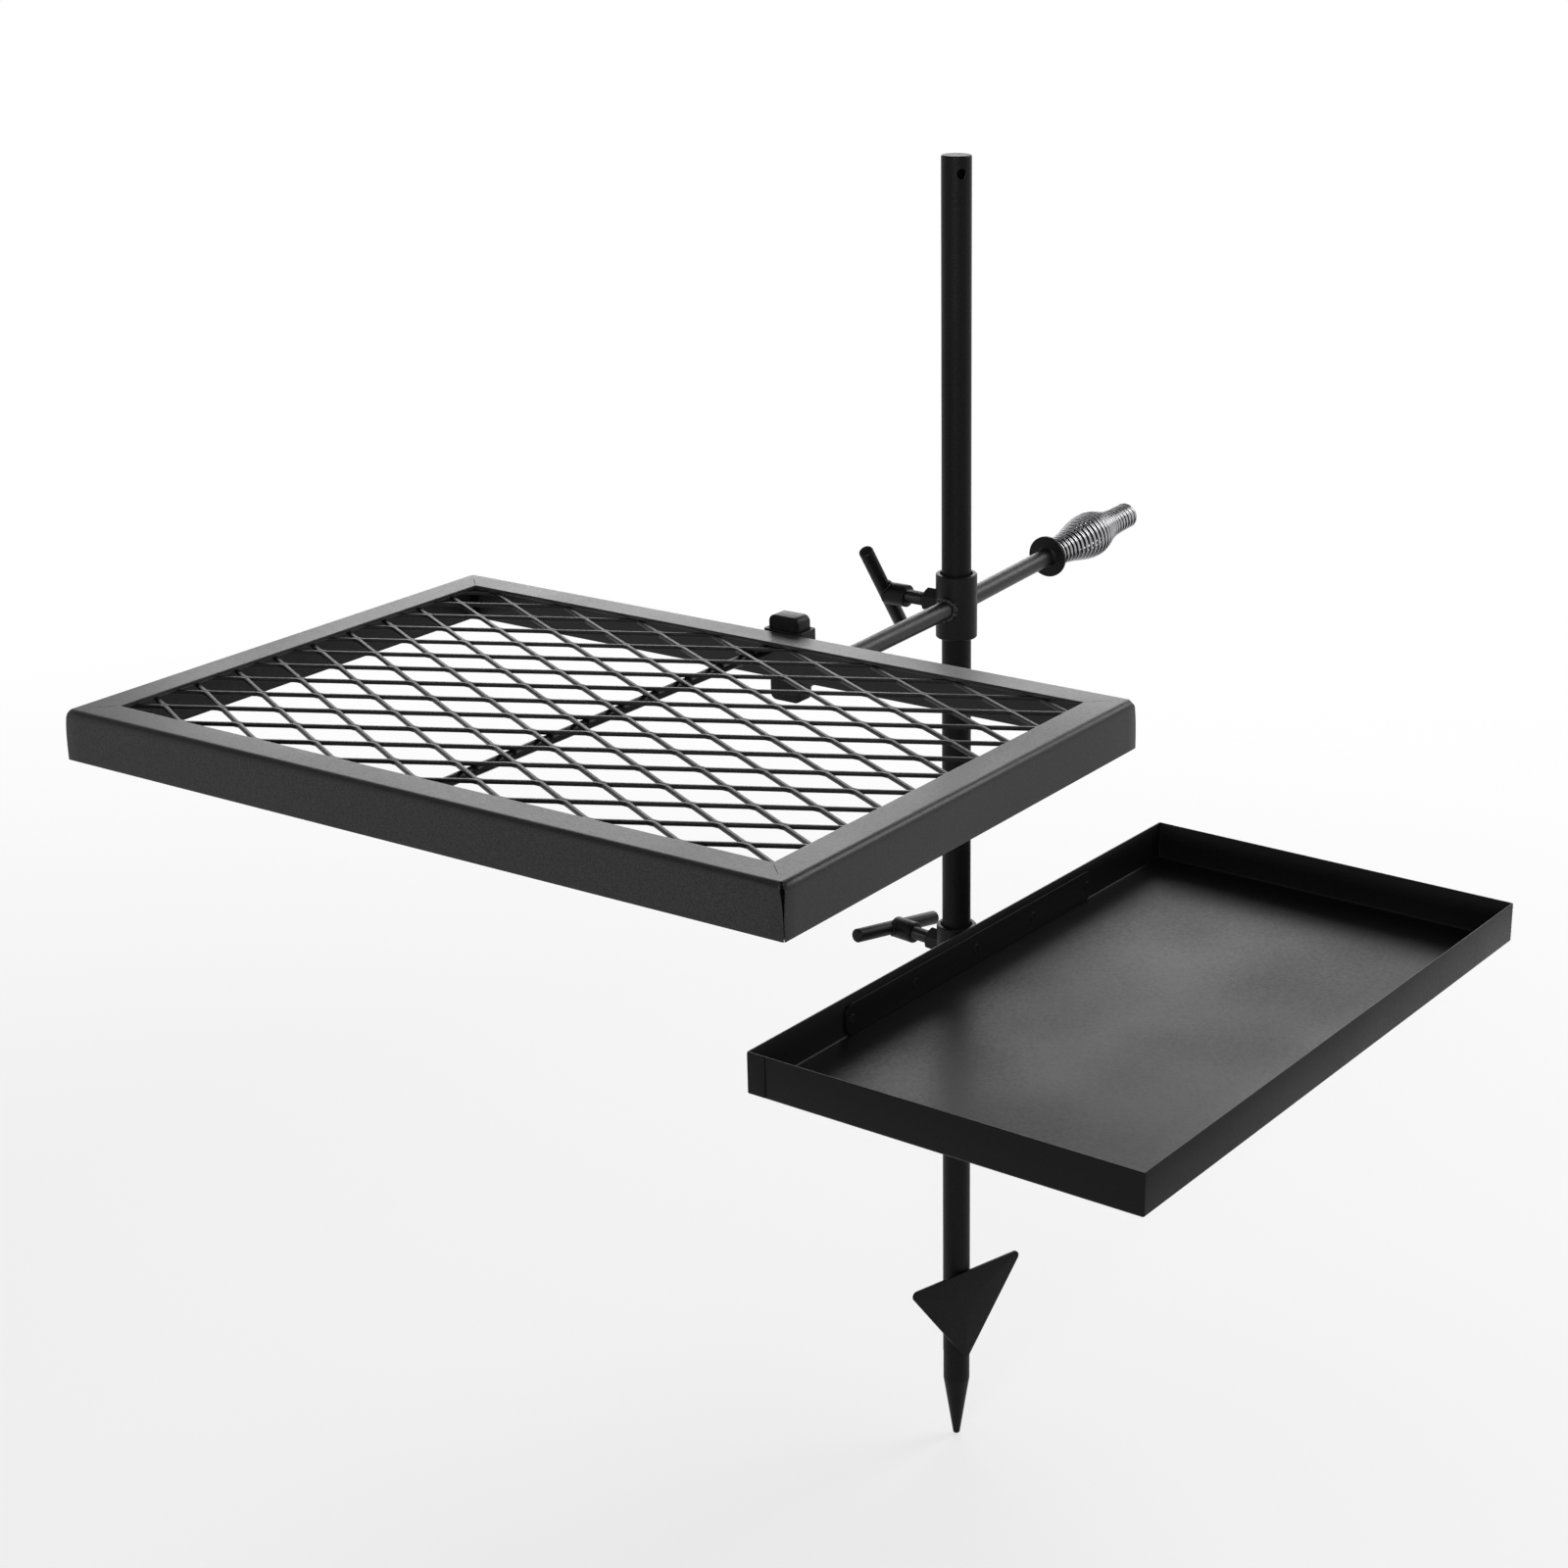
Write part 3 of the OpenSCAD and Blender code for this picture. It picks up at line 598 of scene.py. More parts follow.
def on_screw(points, height, turn):
    """From screw axes to the frame: Z leaves the pole towards -X, X points up."""
    local = np.stack([-points[..., 2], points[..., 1], points[..., 0]], axis=-1)
    return turn_z(local, turn, (0, 0, height))


def thread(start, end):
    """Screw thread: the radius follows a flat-topped wave of the height, shifted by the turn angle."""
    sides, per_pitch, crest, root, thread_depth, slack = 40, 8, 0.22, 0.82, 1.05, 0.03
    height = np.arange(start, end, pitch / per_pitch)
    angle = np.linspace(0, 2 * np.pi, sides + 1)[:, None]
    phase = (height / pitch - angle / (2 * np.pi)) % 1
    depth = smooth(np.abs(phase - 0.5) * 2, crest, root)
    fade = 1 - smooth(height, start, start + pitch)
    radius = screw_r - slack - thread_depth * np.maximum(depth, fade)
    sheet = round_z(radius, angle, height)
    ends = [np.repeat(np.array([[[0, 0, z]]]), sides + 1, axis=0) for z in (height[0], height[-1])]
    return np.concatenate([ends[0], sheet, ends[1]], axis=1)


def hexagon(angle, flat):
    """Distance from the middle to the side of a hexagon with a corner at angle 0."""
    return flat / np.cos((angle % (np.pi / 3)) - np.pi / 6)


def nut():
    """Hexagon whose outer face is turned to a cone, and whose inner end follows the collar's round wall."""
    chamfer, cone_r, cone_slope, bore, wall_r = 0.5, nut_flat * 0.95, 1.7, screw_r + 0.04, collar_r + 0.05
    angle = np.linspace(0, 2 * np.pi, 121)[:, None]
    depth = np.array([0.0, 0.15, 0.4, 0.8, 1.3, 1.9, 2.6, 4.0])
    side = np.minimum(hexagon(angle, nut_flat), cone_r + depth * cone_slope)
    root = np.sqrt(wall_r**2 - (side[:, -1:] * np.sin(angle)) ** 2)
    root_in = np.sqrt(wall_r**2 - (bore * np.sin(angle)) ** 2)
    inner, lip = np.full_like(angle, bore), np.full_like(angle, nut_face - chamfer)
    radius = np.hstack([inner, inner + chamfer, side, side[:, -1:], inner, inner])
    height = np.hstack([lip, lip + chamfer, nut_face - depth + 0 * angle, root, root_in, lip])
    return round_z(radius, angle, height)


# %% [markdown]
# The boss is a short piece of round bar with turned edges. The T-bar passes through its end and is welded
# there: the weld follows the line where the two round bars meet.

# %% Boss, bar and their weld


def boss():
    """Turned solid from the thread side to the middle of the bar, with rounded edges."""
    edge, chamfer, hole_depth, bore, end = 1.2, 0.4, 6, screw_r + 0.06, bar_at - 0.2
    profile = np.vstack([
        [(bore, boss_at + hole_depth)],
        [(bore, boss_at + chamfer), (bore + chamfer, boss_at)],
        arc((boss_r - edge, boss_at + edge), edge, -90, 0),
        arc((boss_r - edge, end - edge), edge, 0, 90),
        [(0, end)],
    ])
    inner = np.array([(bore, boss_at + hole_depth), (0, boss_at + hole_depth)])
    return [turned(profile), turned(inner)]


def bar(turn):
    """Turned bar with chamfered ends, lying across the boss and turned round the screw's axis."""
    edge, ease, nick = 1.1, 0.25, 0.08
    half = np.array([
        (0, 0), (bar_r - edge - ease, 0), (bar_r - edge, nick), (bar_r - nick, edge), (bar_r, edge + ease),
    ])
    profile = np.vstack([half - (0, bar_half), (half * (1, -1) + (0, bar_half))[::-1]])
    lying = turned(profile, 40)
    lying = np.stack([lying[..., 2], lying[..., 1], -lying[..., 0] + bar_at], axis=-1)
    return turn_z(lying, -turn)


def boss_weld(turn):
    """Bead round the bar where it leaves the boss, on both sides: a circle on the bar's skin."""
    stand_off, size, puddle = 0.3, 1.5, 3.4
    angle = np.radians(np.linspace(100, 260, 70))
    depth, across = (bar_r + stand_off) * np.cos(angle), (bar_r + stand_off) * np.sin(angle)
    along = np.sqrt(boss_r**2 - across**2) + stand_off
    seams = [np.stack([side * along, across, bar_at + depth], axis=-1) for side in (-1, 1)]
    return [turn_z(bead(seam, size, puddle), -turn) for seam in seams]


for prefix, height, turn, bar_turn, part in (
    ("arm", arm_z, 0.0, math.radians(35), "swing_arm"),
    ("griddle", griddle_z, lower_screw_turn, math.radians(82), "griddle"),
):
    def put(sheets):
        """Places sheets of the screw's own axes at this collar."""
        return [on_screw(sheet, height, turn) for sheet in sheets]

    piece(prefix + "_nut", put([nut()]), fitting_coat, part, [prefix + "_nut"])
    piece(prefix + "_lock_screw", put([thread(pole_r + hair_gap, bar_at - bar_r - 1.2)]), oiled_thread,
          prefix + "_lock_stud", [prefix + "_lock_screw"], crisp=SOFT_CRISP)
    piece(prefix + "_lock_boss", put([*boss(), *boss_weld(bar_turn)]), fitting_coat,
          prefix + "_lock_handle", [prefix + "_lock_boss"])
    piece(prefix + "_lock_bar", put([bar(bar_turn)]), fitting_coat,
          prefix + "_lock_handle", [prefix + "_lock_bar"])

# %% [markdown]
# ## Grate frame
#
# The frame is folded from steel angle: an upright leg, a round bend and a flat flange that points inwards.
# The four rails are mitred. The flanges were welded and ground flush near the outside, so the seam only shows
# as a fine ragged crack towards the inner corner. The legs leave a dark slit that widens at the bend. So a
# rail is its profile carried from end to end, and each point of the profile stops short of the mitre by its
# own gap.

# %% Folded rails
front_low, front_high = node_box("grate_front_rail")
back_high = node_box("grate_back_rail")[1]
grate_l, grate_w = front_high[0] - front_low[0], back_high[1] - front_low[1]
rail_w = front_high[1] - front_low[1]
rail_foot, rail_top = front_low[2], front_high[2]
rail_h, rail_t, bend_r = rail_top - rail_foot, 3.0, 5.5
grate_mid = (back_high[1] + front_low[1]) / 2


def rail_profile():
    """Outer and inner skin of the rail, in step with each other: X inwards from the leg, Y up."""
    edge, leg_rows, flange_rows = 0.6, 12, 22
    leg = np.linspace(3, rail_h - bend_r - 2, leg_rows)[:, None] * (0, 1)
    flange = np.linspace(bend_r + 1, rail_w - 2 * edge, flange_rows)[:, None] * (1, 0)
    outer = np.vstack([
        [(rail_t / 2, 0)], arc((edge, edge), edge, -90, -180, 4), leg,
        arc((bend_r, rail_h - bend_r), bend_r, 180, 90, 11), flange + (0, rail_h),
        arc((rail_w - edge, rail_h - edge), edge, 90, 0, 4), [(rail_w, rail_h - rail_t / 2)],
    ])
    inner = np.vstack([
        [(rail_t / 2, 0)], arc((rail_t - edge, edge), edge, -90, 0, 4), leg + (rail_t, 0),
        arc((bend_r, rail_h - bend_r), bend_r - rail_t, 180, 90, 11), flange + (0, rail_h - rail_t),
        arc((rail_w - edge, rail_h - rail_t + edge), edge, -90, 0, 4), [(rail_w, rail_h - rail_t / 2)],
    ])
    return outer, inner


def on_leg(inward):
    """1 on the leg and 0 on the flange, with a soft change round the bend."""
    return 1 - smooth(inward, 0.5, bend_r + 0.5)


def mitre_gap(inward, up):
    """How far a rail stops short of the mitre.

    On the flange that is a fine, ragged crack in the inner half: a hump times a product of two sines. Along
    the leg it is a slit that opens with a power of the height, widest under the bend."""
    crack, raggedness, slit_foot, slit_growth, slit_power = 0.28, 0.6, 0.85, 3.6, 3.2
    ragged = 1 + raggedness * np.sin(2.3 * inward) * np.sin(0.9 * inward + 1)
    share = inward / rail_w
    hump = smooth(share, 0.42, 0.6) * (1 - smooth(share, 0.8, 0.98))
    slit = slit_foot + slit_growth * (up / rail_h) ** slit_power
    return crack * hump * ragged + slit * on_leg(inward)


def rail(length):
    """A rail along X, its leg's outer face at Y = 0 and its flange towards +Y.

    Near its ends the leg's two skins draw together, which rounds the sawn edges. Under the flange the mitre
    is closed, so its crack is only a groove."""
    outer, inner = rail_profile()
    steps = np.array([0, 0.25, 0.8, 12])
    rounding = np.array([0.55, 0.16, 0, 0])
    skins = []
    for skin, other, open_mitre in ((outer, inner, 1.0), (inner, outer, on_leg(inner[:, :1]))):
        inward, up = skin[:, :1], skin[:, 1:]
        through = other - skin
        through = through / np.maximum(np.linalg.norm(through, axis=1, keepdims=True), 1e-6)
        reach = length / 2 - inward - mitre_gap(inward, up) * open_mitre
        x = np.hstack([-(reach - steps), (reach - steps)[:, ::-1]])
        draw = np.concatenate([rounding, rounding[::-1]]) * on_leg(inward)
        skins.append(np.stack([x, inward + through[:, :1] * draw, up + through[:, 1:] * draw], axis=-1))
    ends = [np.stack([skins[0][:, i], skins[1][:, i]], axis=1) for i in (0, -1)]
    return [*skins, *ends]


for name, length, turn in (
    ("grate_front_rail", grate_l, 0), ("grate_right_rail", grate_w, 90),
    ("grate_back_rail", grate_l, 180), ("grate_left_rail", grate_w, 270),
):
    out = np.array([0, grate_w / 2 if turn % 180 == 0 else grate_l / 2, 0])
    sheets = [turn_z(s - out, math.radians(turn), (0, grate_mid, rail_foot)) for s in rail(length)]
    piece(name, sheets, grate_coat, "grate", [name])

# %% [markdown]
# ## Expanded metal
#
# A sheet is slit and pulled open, which leaves one net of zigzag strands. Each strand runs along the grate,
# up and down between two rows of openings, and shares a short thick knuckle with its neighbours. One strand
# is a rounded square profile carried along a zigzag with flat stretches. It is a little wider at the
# knuckles, so neighbours run into each other there.

# %% Zigzag strands
mesh_low, mesh_high = node_box("grate_mesh")
pitch_long, pitch_short, strand, knuckle = 75.0, 40.0, 3.0, 5.6
phase_x, phase_y = -10.7, -6.0
mesh_t = mesh_high[2] - mesh_low[2]
mesh_z = middle_height("grate_mesh")
border = 6.0


def zigzag(x):
    """Wave between -1 and 1 with a flat knuckle at each turning point and a straight slope between.

    The corners of the wave are eased over a short stretch by a parabola."""
    half, ease = pitch_long / 2, 0.07
    t = np.abs(((x / half) % 2) - 1) * half
    value = (t - half / 2) / (half / 2 - knuckle / 2)
    size = np.abs(value)
    eased = 1 - (1 + ease - size) ** 2 / (4 * ease)
    size = np.where(size < 1 - ease, size, np.where(size > 1 + ease, 1, eased))
    return np.sign(value) * size


def strand_stops(start, left, right):
    """Places along X where a strand has rings: close together at the knuckles, none on the slopes."""
    near = np.array([0, 1.0, 1.6, 2.2, 2.8, 3.4, 4.0, pitch_long / 4])
    offsets = np.concatenate([-near[:0:-1], near])[1:]
    half_cells = 12
    centres = start + pitch_long / 2 * np.arange(-half_cells, half_cells + 1)
    stops = np.unique(np.round((centres[:, None] + offsets).ravel(), 4))
    return np.concatenate([[left], stops[(stops > left + 0.5) & (stops < right - 0.5)], [right]])


def soft_square(half_w, half_h):
    """Rounded square profile of a strand, as a closed loop of points."""
    corner, steps = 0.5, 3
    w, h = half_w - corner, half_h - corner
    centres = ((w, h), (-w, h), (-w, -h), (w, -h))
    loop = np.vstack([arc(c, corner, 90 * k, 90 * k + 90, steps) for k, c in enumerate(centres)])
    return np.vstack([loop, loop[:1]])


def strand_sheet(row, left, right, front, back):
    """One strand: its profile stands square to the zigzag and is wider at the knuckles."""
    overlap, extra, flatten, past = 1.4, 0.16, 0.96, 1.5
    base = grate_mid + phase_y + pitch_short / 2 * (row + 0.5)
    start = phase_x + (row % 2) * pitch_long / 2
    x = strand_stops(start, left, right)
    wave = zigzag(x - start)
    y = base + wave * (pitch_short / 4 - overlap)
    slope = np.gradient(y, x)
    across = np.stack([-slope, np.ones_like(slope)], axis=-1) / np.hypot(slope, 1)[:, None]
    widen = 1 + extra * smooth(np.abs(wave), 0.8, 1.0)
    profile = soft_square(strand / 2, mesh_t / 2)
    side = profile[:, 0] * widen[:, None]
    height = np.broadcast_to(mesh_z + profile[:, 1] * flatten, side.shape)
    sheet = np.stack([x[:, None] + across[:, :1] * side, y[:, None] + across[:, 1:] * side, height], axis=-1)
    keep = (y > front - past) & (y < back + past)
    return [sheet[block] for block in blocks(keep)]


def blocks(keep):
    """Index ranges of the unbroken stretches where keep is true."""
    edges = np.flatnonzero(np.diff(np.concatenate([[False], keep, [False]]).astype(int)))
    return [slice(a, b) for a, b in zip(edges[::2], edges[1::2]) if b - a > 3]


left, right = mesh_low[0] + border / 2, mesh_high[0] - border / 2
front, back = mesh_low[1] + border / 2, mesh_high[1] - border / 2
rows = int((back - front) / (pitch_short / 2)) // 2 + 2
strands = []
for row in range(-rows, rows):
    strands += strand_sheet(row, left, right, front, back)

border_strips = []
border_thinner, border_share = 0.05, 0.98
border_loop = soft_square(border / 2 - border_thinner, mesh_t / 2)
border_corners = at_height(rectangle(left, right, front, back), mesh_z)
for start, end in zip(border_corners, np.roll(border_corners, -1, axis=0)):
    along = (end - start) / np.linalg.norm(end - start)
    across = np.array([along[1], -along[0], 0])
    past = along * border / 2 * border_share
    line = np.stack([start - past, end + past])
    skin = line[:, None] + border_loop[None, :, :1] * across + border_loop[None, :, 1:] * np.array(ALONG_Z)
    border_strips.append(capped(skin, line))
piece("grate_mesh", strands + border_strips, mesh_coat, "grate", ["grate_mesh"],
      crisp=SOFT_CRISP)

# %% [markdown]
# ## Sleeve
#
# A short piece of rectangular tube is welded to the back rail and drops over the tongue. Tube has rounded
# outer corners, tight inner ones and a sawn, softened rim at top and foot: four outlines, joined by small
# arcs.

# %% Sleeve and the frame's welds
sleeve_low, sleeve_high = node_box("grate_sleeve")
sleeve_mid = (sleeve_low + sleeve_high) / 2
sleeve_wall = 3.0


def box_loop(w, t, radius, shrink, steps):
    """Rounded rectangle of the given width and depth, shrunk on all sides."""
    return corner_outline(rectangle(-w / 2, w / 2, -t / 2, t / 2), radius, shrink, steps)


def square_tube(low, high, wall):
    """Rectangular tube: outlines go up the outside, over the rim, down the inside and under the foot."""
    corner, inner_corner, edge = 3.2, 1.0, 0.7
    w, t = high[0] - low[0], high[1] - low[1]
    turn = np.radians([0, 30, 60, 90])
    over, drop = edge * (1 - np.cos(turn)), edge * (1 - np.sin(turn))
    outside = [(low[2] + d, o) for d, o in zip(drop[::-1], over[::-1])]
    outside += [(high[2] - d, o) for d, o in zip(drop, over)]
    inside = [(high[2] - d, o) for d, o in zip(drop[::-1], over[::-1])]
    inside += [(low[2] + d, o) for d, o in zip(drop, over)]
    rings = [at_height(box_loop(w, t, corner, o, 8), z) for z, o in outside]
    rings += [at_height(box_loop(w - 2 * wall, t - 2 * wall, inner_corner, -o, 8), z) for z, o in inside]
    return np.stack([*rings, rings[0]])


centre = np.array([sleeve_mid[0], sleeve_mid[1], 0])
sleeve = square_tube(sleeve_low - centre, sleeve_high - centre, sleeve_wall) + centre
piece("grate_sleeve", [sleeve], fitting_coat, "grate", ["grate_sleeve"])

rail_back = back_high[1]
seam_x = half_width("grate_sleeve") + 0.4
sleeve_seams = plumb_beads(xs=(-seam_x, seam_x), ys=[rail_back + 0.9], foot=sleeve_low[2] + 2.5,
                           top=rail_top - bend_r - 1, size=1.9)
piece("sleeve_welds", sleeve_seams, fitting_coat, "grate", ["sleeve_welds"], crisp=WELD_CRISP)

corner_bead = 3.2
inset = rail_t + 0.55 * corner_bead
seam_x, seam_y = grate_l / 2 - inset, grate_w / 2 - inset
corner_seams = plumb_beads(xs=(-seam_x, seam_x), ys=(grate_mid - seam_y, grate_mid + seam_y),
                           foot=rail_foot + 0.3, top=rail_top - 2.4, size=corner_bead, puddle=4)
# The corner beads take the nearly black coat: painted shade, since little light reaches the inner corners.
piece("grate_corner_welds", corner_seams, painted_shade_coat, "grate", ["grate_corner_welds"],
      crisp=WELD_CRISP)

# %% [markdown]
# ## Griddle tray
#
# The tray is folded from one sheet: a floor, a small bend and four upright walls whose rim is the bare
# thickness of the sheet. It is worked out as outlines again, this time from the middle of the underside, out
# round the bend, up the wall, over the rim and down the inside to the middle of the floor.

# %% Folded tray
# The corner tabs lie on the short walls, so the tray is shorter by their thickness.
tab_w, tab_t = 18.0, 0.7
tray_h, tray_t, tray_wall, tray_len = 38.0, 1.5, 375.0, 650.0 - 2 * tab_t
tray_foot = griddle_z + 24.5 - tray_h
tray_near = collar_r + hair_gap


def tray():
    """Rings of the tray: (shrink, height, corner radius) from the underside round to the floor."""
    bend, inner_bend, rim = 2.8, 2.0, 0.45
    corner, inner_corner, floor_corner, floor_inset = 1.6, 0.8, 2, 60
    turn = np.radians(np.linspace(0, 90, 6))
    curl, crown = tray_t + inner_bend, tray_h - rim
    rings = [(floor_inset, 0, floor_corner)]
    rings += [(bend - bend * np.sin(a), bend - bend * np.cos(a), corner) for a in turn]
    rings += [(0, tray_h * 0.5, corner)]
    rings += [(rim - rim * np.cos(a), crown + rim * np.sin(a), corner) for a in turn[::2]]
    rings += [(tray_t - rim + rim * np.sin(a), crown + rim * np.cos(a), inner_corner) for a in turn[::2]]
    rings += [(tray_t, tray_h * 0.5, inner_corner)]
    rings += [(curl - inner_bend * np.cos(a), curl - inner_bend * np.sin(a), inner_corner) for a in turn]
    rings += [(floor_inset, tray_t, floor_corner)]
    loops = [at_height(box_loop(tray_wall - 2 * s, tray_len - 2 * s, r, 0, 7), z) for s, z, r in rings]
    middle = np.zeros((len(loops[0]), 2))
    return np.stack([at_height(middle, 0), *loops, at_height(middle, tray_t)])


def on_tray(points):
    """From the tray's own axes, with its middle at the origin and its foot at Z = 0, into the frame."""
    return turn_z(points + np.array([tray_near + tray_wall / 2, 0, tray_foot]), tray_turn)


piece("griddle_tray", [on_tray(tray())], sheet_coat, "griddle", ["griddle_tray"])

# %% [markdown]
# The long wall at the pole is lapped round both corners: a narrow tab lies flat on each short wall. The two
# far corners are closed by a thin wavy weld seam instead.

# %% Corner tabs and corner welds
tab_foot, tab_drop, tab_in, tab_round, tab_edge = 1.5, 0.4, 0.9, 0.8, 0.3
tab = flat_bar(rectangle(0, tab_w, tab_foot, tray_h - tab_drop), tab_round, tab_t, tab_edge)
tab_x, tab_sides = -tray_wall / 2 + tab_in, (-tray_len / 2, tray_len / 2 + tab_t)
tabs = [on_tray(upright(tab, y, x=tab_x)) for y in tab_sides]
piece("griddle_corner_tabs", tabs, sheet_coat, "griddle")

seam_in = 1.0
seam_y = tray_len / 2 - seam_in
far_seams = plumb_beads(xs=[tray_wall / 2 - seam_in], ys=(-seam_y, seam_y), foot=1.2, top=tray_h - seam_in,
                        size=0.86, puddle=4.2)
far_seams = [on_tray(seam) for seam in far_seams]
piece("griddle_corner_beads", far_seams, pole_coat, "griddle", crisp=WELD_CRISP)

# %% [markdown]
# A strip doubles the wall where the collar is welded on. Its ends are round, and five plug welds hold it:
# from inside the tray each one is a faint raised ring with a shallow middle.

# %% Strip, plug welds and collar welds
strip_l, strip_h, strip_t, strip_round, strip_edge = 388.0, 29.0, 2.0, 9.0, 0.5
strip_foot = tray_t + 0.3
strip_x = -tray_wall / 2 + tray_t
strip = flat_bar(rectangle(-strip_l / 2, strip_l / 2, 0, strip_h), strip_round, strip_t, strip_edge)
strip = on_tray(facing_x(strip, strip_x, strip_foot))
piece("griddle_strip", [strip], sheet_coat, "griddle", ["griddle_strip"])

plug_inset = 8
plug_pitch, plug_z = (strip_l / 2 - plug_inset) / 2, strip_foot + strip_h / 2
plug_profile = np.array([
    (0, 0.12), (1.6, 0.14), (2.6, 0.3), (3.3, 0.46), (3.9, 0.42),
    (4.3, 0.2), (4.5, 0), (4.5, -0.4), (0, -0.4),
])
mark = facing_x(turned(plug_profile, 40), strip_x + strip_t)
plugs = [on_tray(mark + np.array([0, k * plug_pitch, plug_z])) for k in range(-2, 3)]
piece("griddle_plug_welds", plugs, sheet_coat, "griddle", ["griddle_plug_welds"],
      crisp=WELD_CRISP)

collar_seams = plumb_beads(xs=[collar_r - 1.6], ys=(-7.4, 7.4), foot=tray_foot + 4, top=griddle_z + 19,
                           size=2.2, turn=tray_turn)
piece("griddle_welds", collar_seams, fitting_coat, "griddle", ["griddle_welds"],
      crisp=WELD_CRISP)

# %% [markdown]
# ## Studio
#
# A black object is told by what it mirrors. The room is white from the floor up to about thirty degrees and
# has a dim ceiling, so flat tops look pale, walls look dark and a bend that faces the ceiling shows as a dark
# line. The floor is plain and pale and keeps a faint shadow, because a share of plain white is mixed in where
# the camera, a mirror or a glass sees it. Further out it fades into the white room, and from below it is
# clear.

# %% Floor and world


def seen_directly(nodes, links):
    """1 for rays from the camera, from mirrors and through glass, and 0 for the light on objects."""
    path = nodes.new("ShaderNodeLightPath").outputs
    mirrored = maths(nodes, links, "MAXIMUM", path["Is Glossy Ray"], path["Is Transmission Ray"])
    return maths(nodes, links, "MAXIMUM", path["Is Camera Ray"], mirrored)


def mix_shaders(nodes, links, factor, first, second):
    """Blend of two shaders by a factor socket."""
    node = nodes.new("ShaderNodeMixShader")
    links.new(factor, node.inputs["Fac"])
    links.new(first, node.inputs[1])
    links.new(second, node.inputs[2])
    return node.outputs["Shader"]


floor_size, floor_z = 5.0, cad_bounds[0][2] - 0.001
fade_from, fade_to, floor_grey, floor_white = 1.2, 3.0, 0.9, 0.6
floor_mesh = bpy.data.meshes.new("studio_floor")
floor_corners = at_height(rectangle(-floor_size, floor_size, -floor_size, floor_size), floor_z)
floor_mesh.from_pydata(floor_corners.tolist(), [], [(0, 1, 2, 3)])
floor = bpy.data.objects.new("studio_floor", floor_mesh)
bpy.context.scene.collection.objects.link(floor)

paint, nodes, links, shader, place = new_material("floor_paint")
shader.inputs["Base Color"].default_value = (floor_grey, floor_grey, floor_grey, 1)
shader.inputs["Roughness"].default_value = 1.0
shader.inputs["Specular IOR Level"].default_value = 0.0
glow = nodes.new("ShaderNodeEmission")
whiten = spread(nodes, links, seen_directly(nodes, links), 0, 1, 0, floor_white)
pale = mix_shaders(nodes, links, whiten, shader.outputs["BSDF"], glow.outputs["Emission"])
from_middle = nodes.new("ShaderNodeVectorMath")
from_middle.operation = "LENGTH"
links.new(place, from_middle.inputs[0])
fade = spread(nodes, links, from_middle.outputs["Value"], fade_from, fade_to, 0, 1)
below = nodes.new("ShaderNodeNewGeometry").outputs["Backfacing"]
gone = maths(nodes, links, "MAXIMUM", fade, below)
clear = nodes.new("ShaderNodeBsdfTransparent")
faded = mix_shaders(nodes, links, gone, pale, clear.outputs["BSDF"])
links.new(faded, nodes["Material Output"].inputs["Surface"])
floor_mesh.materials.append(paint)

room_light, ceiling, wall_top, ceiling_from = 0.35, 0.16, 0.40, 0.62
world = bpy.data.worlds.new("studio")
bpy.context.scene.world = world
world.use_nodes = True
nodes, links = world.node_tree.nodes, world.node_tree.links
dim = nodes["Background"]
dim.inputs["Color"].default_value = (room_light, room_light, room_light, 1)
room = nodes.new("ShaderNodeBackground")
room.inputs["Color"].default_value = (1, 1, 1, 1)
height = nodes.new("ShaderNodeSeparateXYZ")
links.new(nodes.new("ShaderNodeTexCoord").outputs["Generated"], height.inputs["Vector"])
wall = spread(nodes, links, height.outputs["Z"], wall_top, ceiling_from, 1, ceiling)
links.new(wall, room.inputs["Strength"])
seen = seen_directly(nodes, links)
mixed = mix_shaders(nodes, links, seen, dim.outputs["Background"], room.outputs["Background"])
links.new(mixed, nodes["World Output"].inputs["Surface"])
print("floor at", round(floor_z, 4), "fades from", fade_from, "to", fade_to)

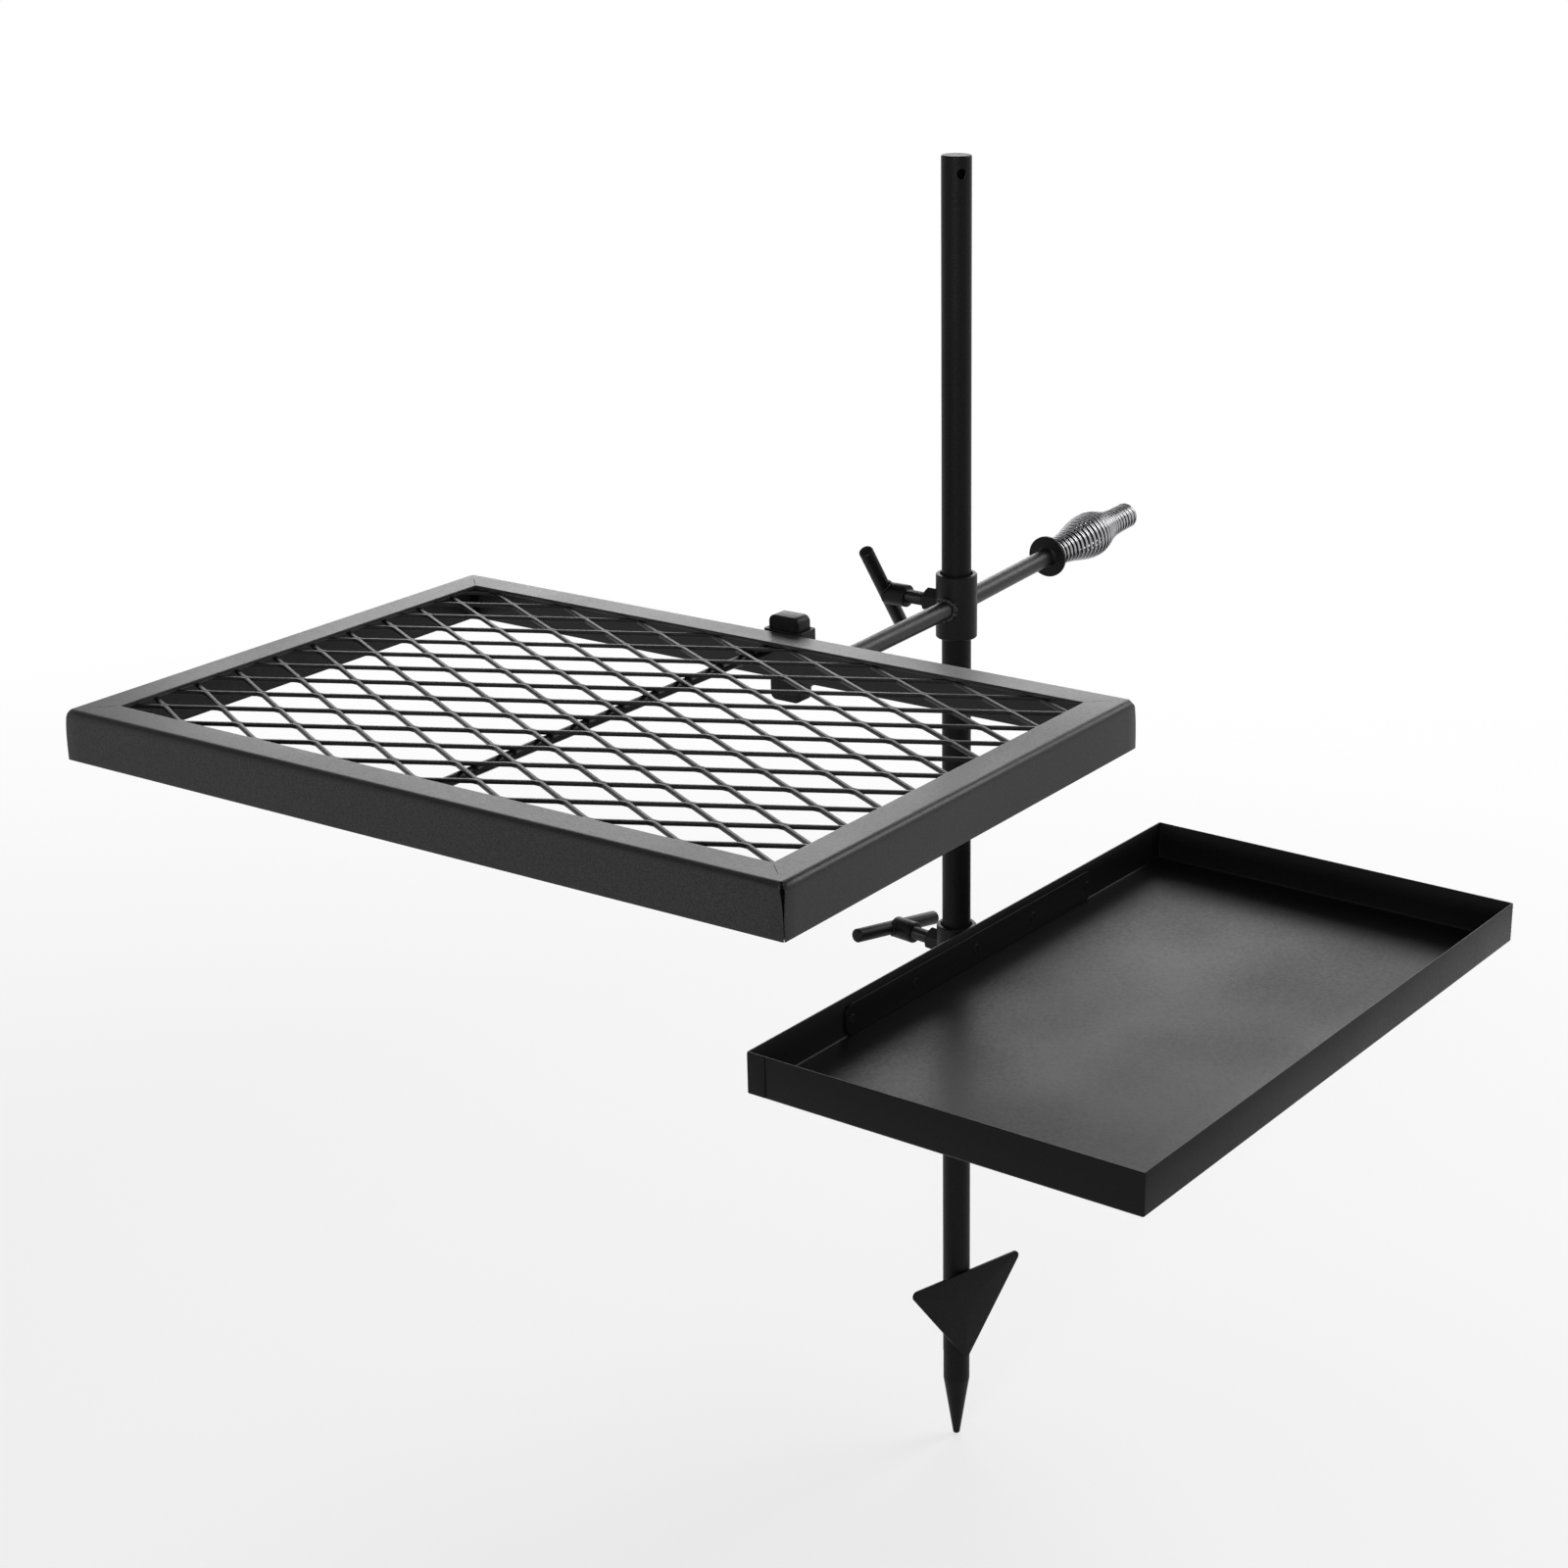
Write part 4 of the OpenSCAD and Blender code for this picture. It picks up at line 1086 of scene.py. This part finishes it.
# %% [markdown]
# Three lamps light the object at a plain level. The key light stands high behind the right. A wide one stands
# behind the left, and the flat tops mirror it towards the camera. A soft one in front, a little lower, is for
# the upright sides. Each is a softbox that faces the middle of the object and that the camera doesn't see.

# %% Lamps
middle = Vector((0, -0.2, 0.45))


def softbox(name, place, width, height, power):
    """Area light of the given size in metres, at place, facing the middle of the object."""
    data = bpy.data.lights.new(name, "AREA")
    data.shape = "RECTANGLE"
    data.size, data.size_y, data.energy = width, height, power
    lamp = bpy.data.objects.new(name, data)
    lamp.location = place
    lamp.rotation_euler = (middle - Vector(place)).to_track_quat("-Z", "Y").to_euler()
    lamp.visible_camera = False
    bpy.context.scene.collection.objects.link(lamp)
    return lamp


softbox("key_light", place=(1.5, 2.2, 2.5), width=1.8, height=1.5, power=46)
softbox("back_light", place=(-1.9, 3.0, 1.7), width=3.4, height=2.0, power=58)
softbox("front_light", place=(1.4, -3.6, 1.6), width=2.2, height=1.4, power=60)

# %% [markdown]
# ## Camera
#
# The camera stands to the right of the front, a little over two and a half metres away, and looks down by
# about 21 degrees. Its picture was cut off centre, so the lens is shifted to bring the object to its place.

# %% Camera and the last lines
azimuth, elevation, distance = math.radians(32.622), math.radians(21.4), 2.55385
sensor_mm, picture_px, focal_px, shift_px = 36, 1600, 2924.56, (-175.97, 94.21)
target = Vector((0, 0, 0.39329))
away = Vector((
    math.sin(azimuth) * math.cos(elevation),
    -math.cos(azimuth) * math.cos(elevation),
    math.sin(elevation),
))
camera_data = bpy.data.cameras.new("camera")
camera_data.sensor_width = sensor_mm
camera_data.lens = sensor_mm * focal_px / picture_px
camera_data.shift_x = shift_px[0] / picture_px
camera_data.shift_y = shift_px[1] / picture_px
camera = bpy.data.objects.new("camera", camera_data)
camera.location = target + away * distance
camera.rotation_mode = "QUATERNION"
camera.rotation_quaternion = (-away).to_track_quat("-Z", "Y")
bpy.context.scene.collection.objects.link(camera)
bpy.context.scene.camera = camera
bpy.context.scene.view_settings.view_transform = "Standard"

bpy.context.view_layer.update()
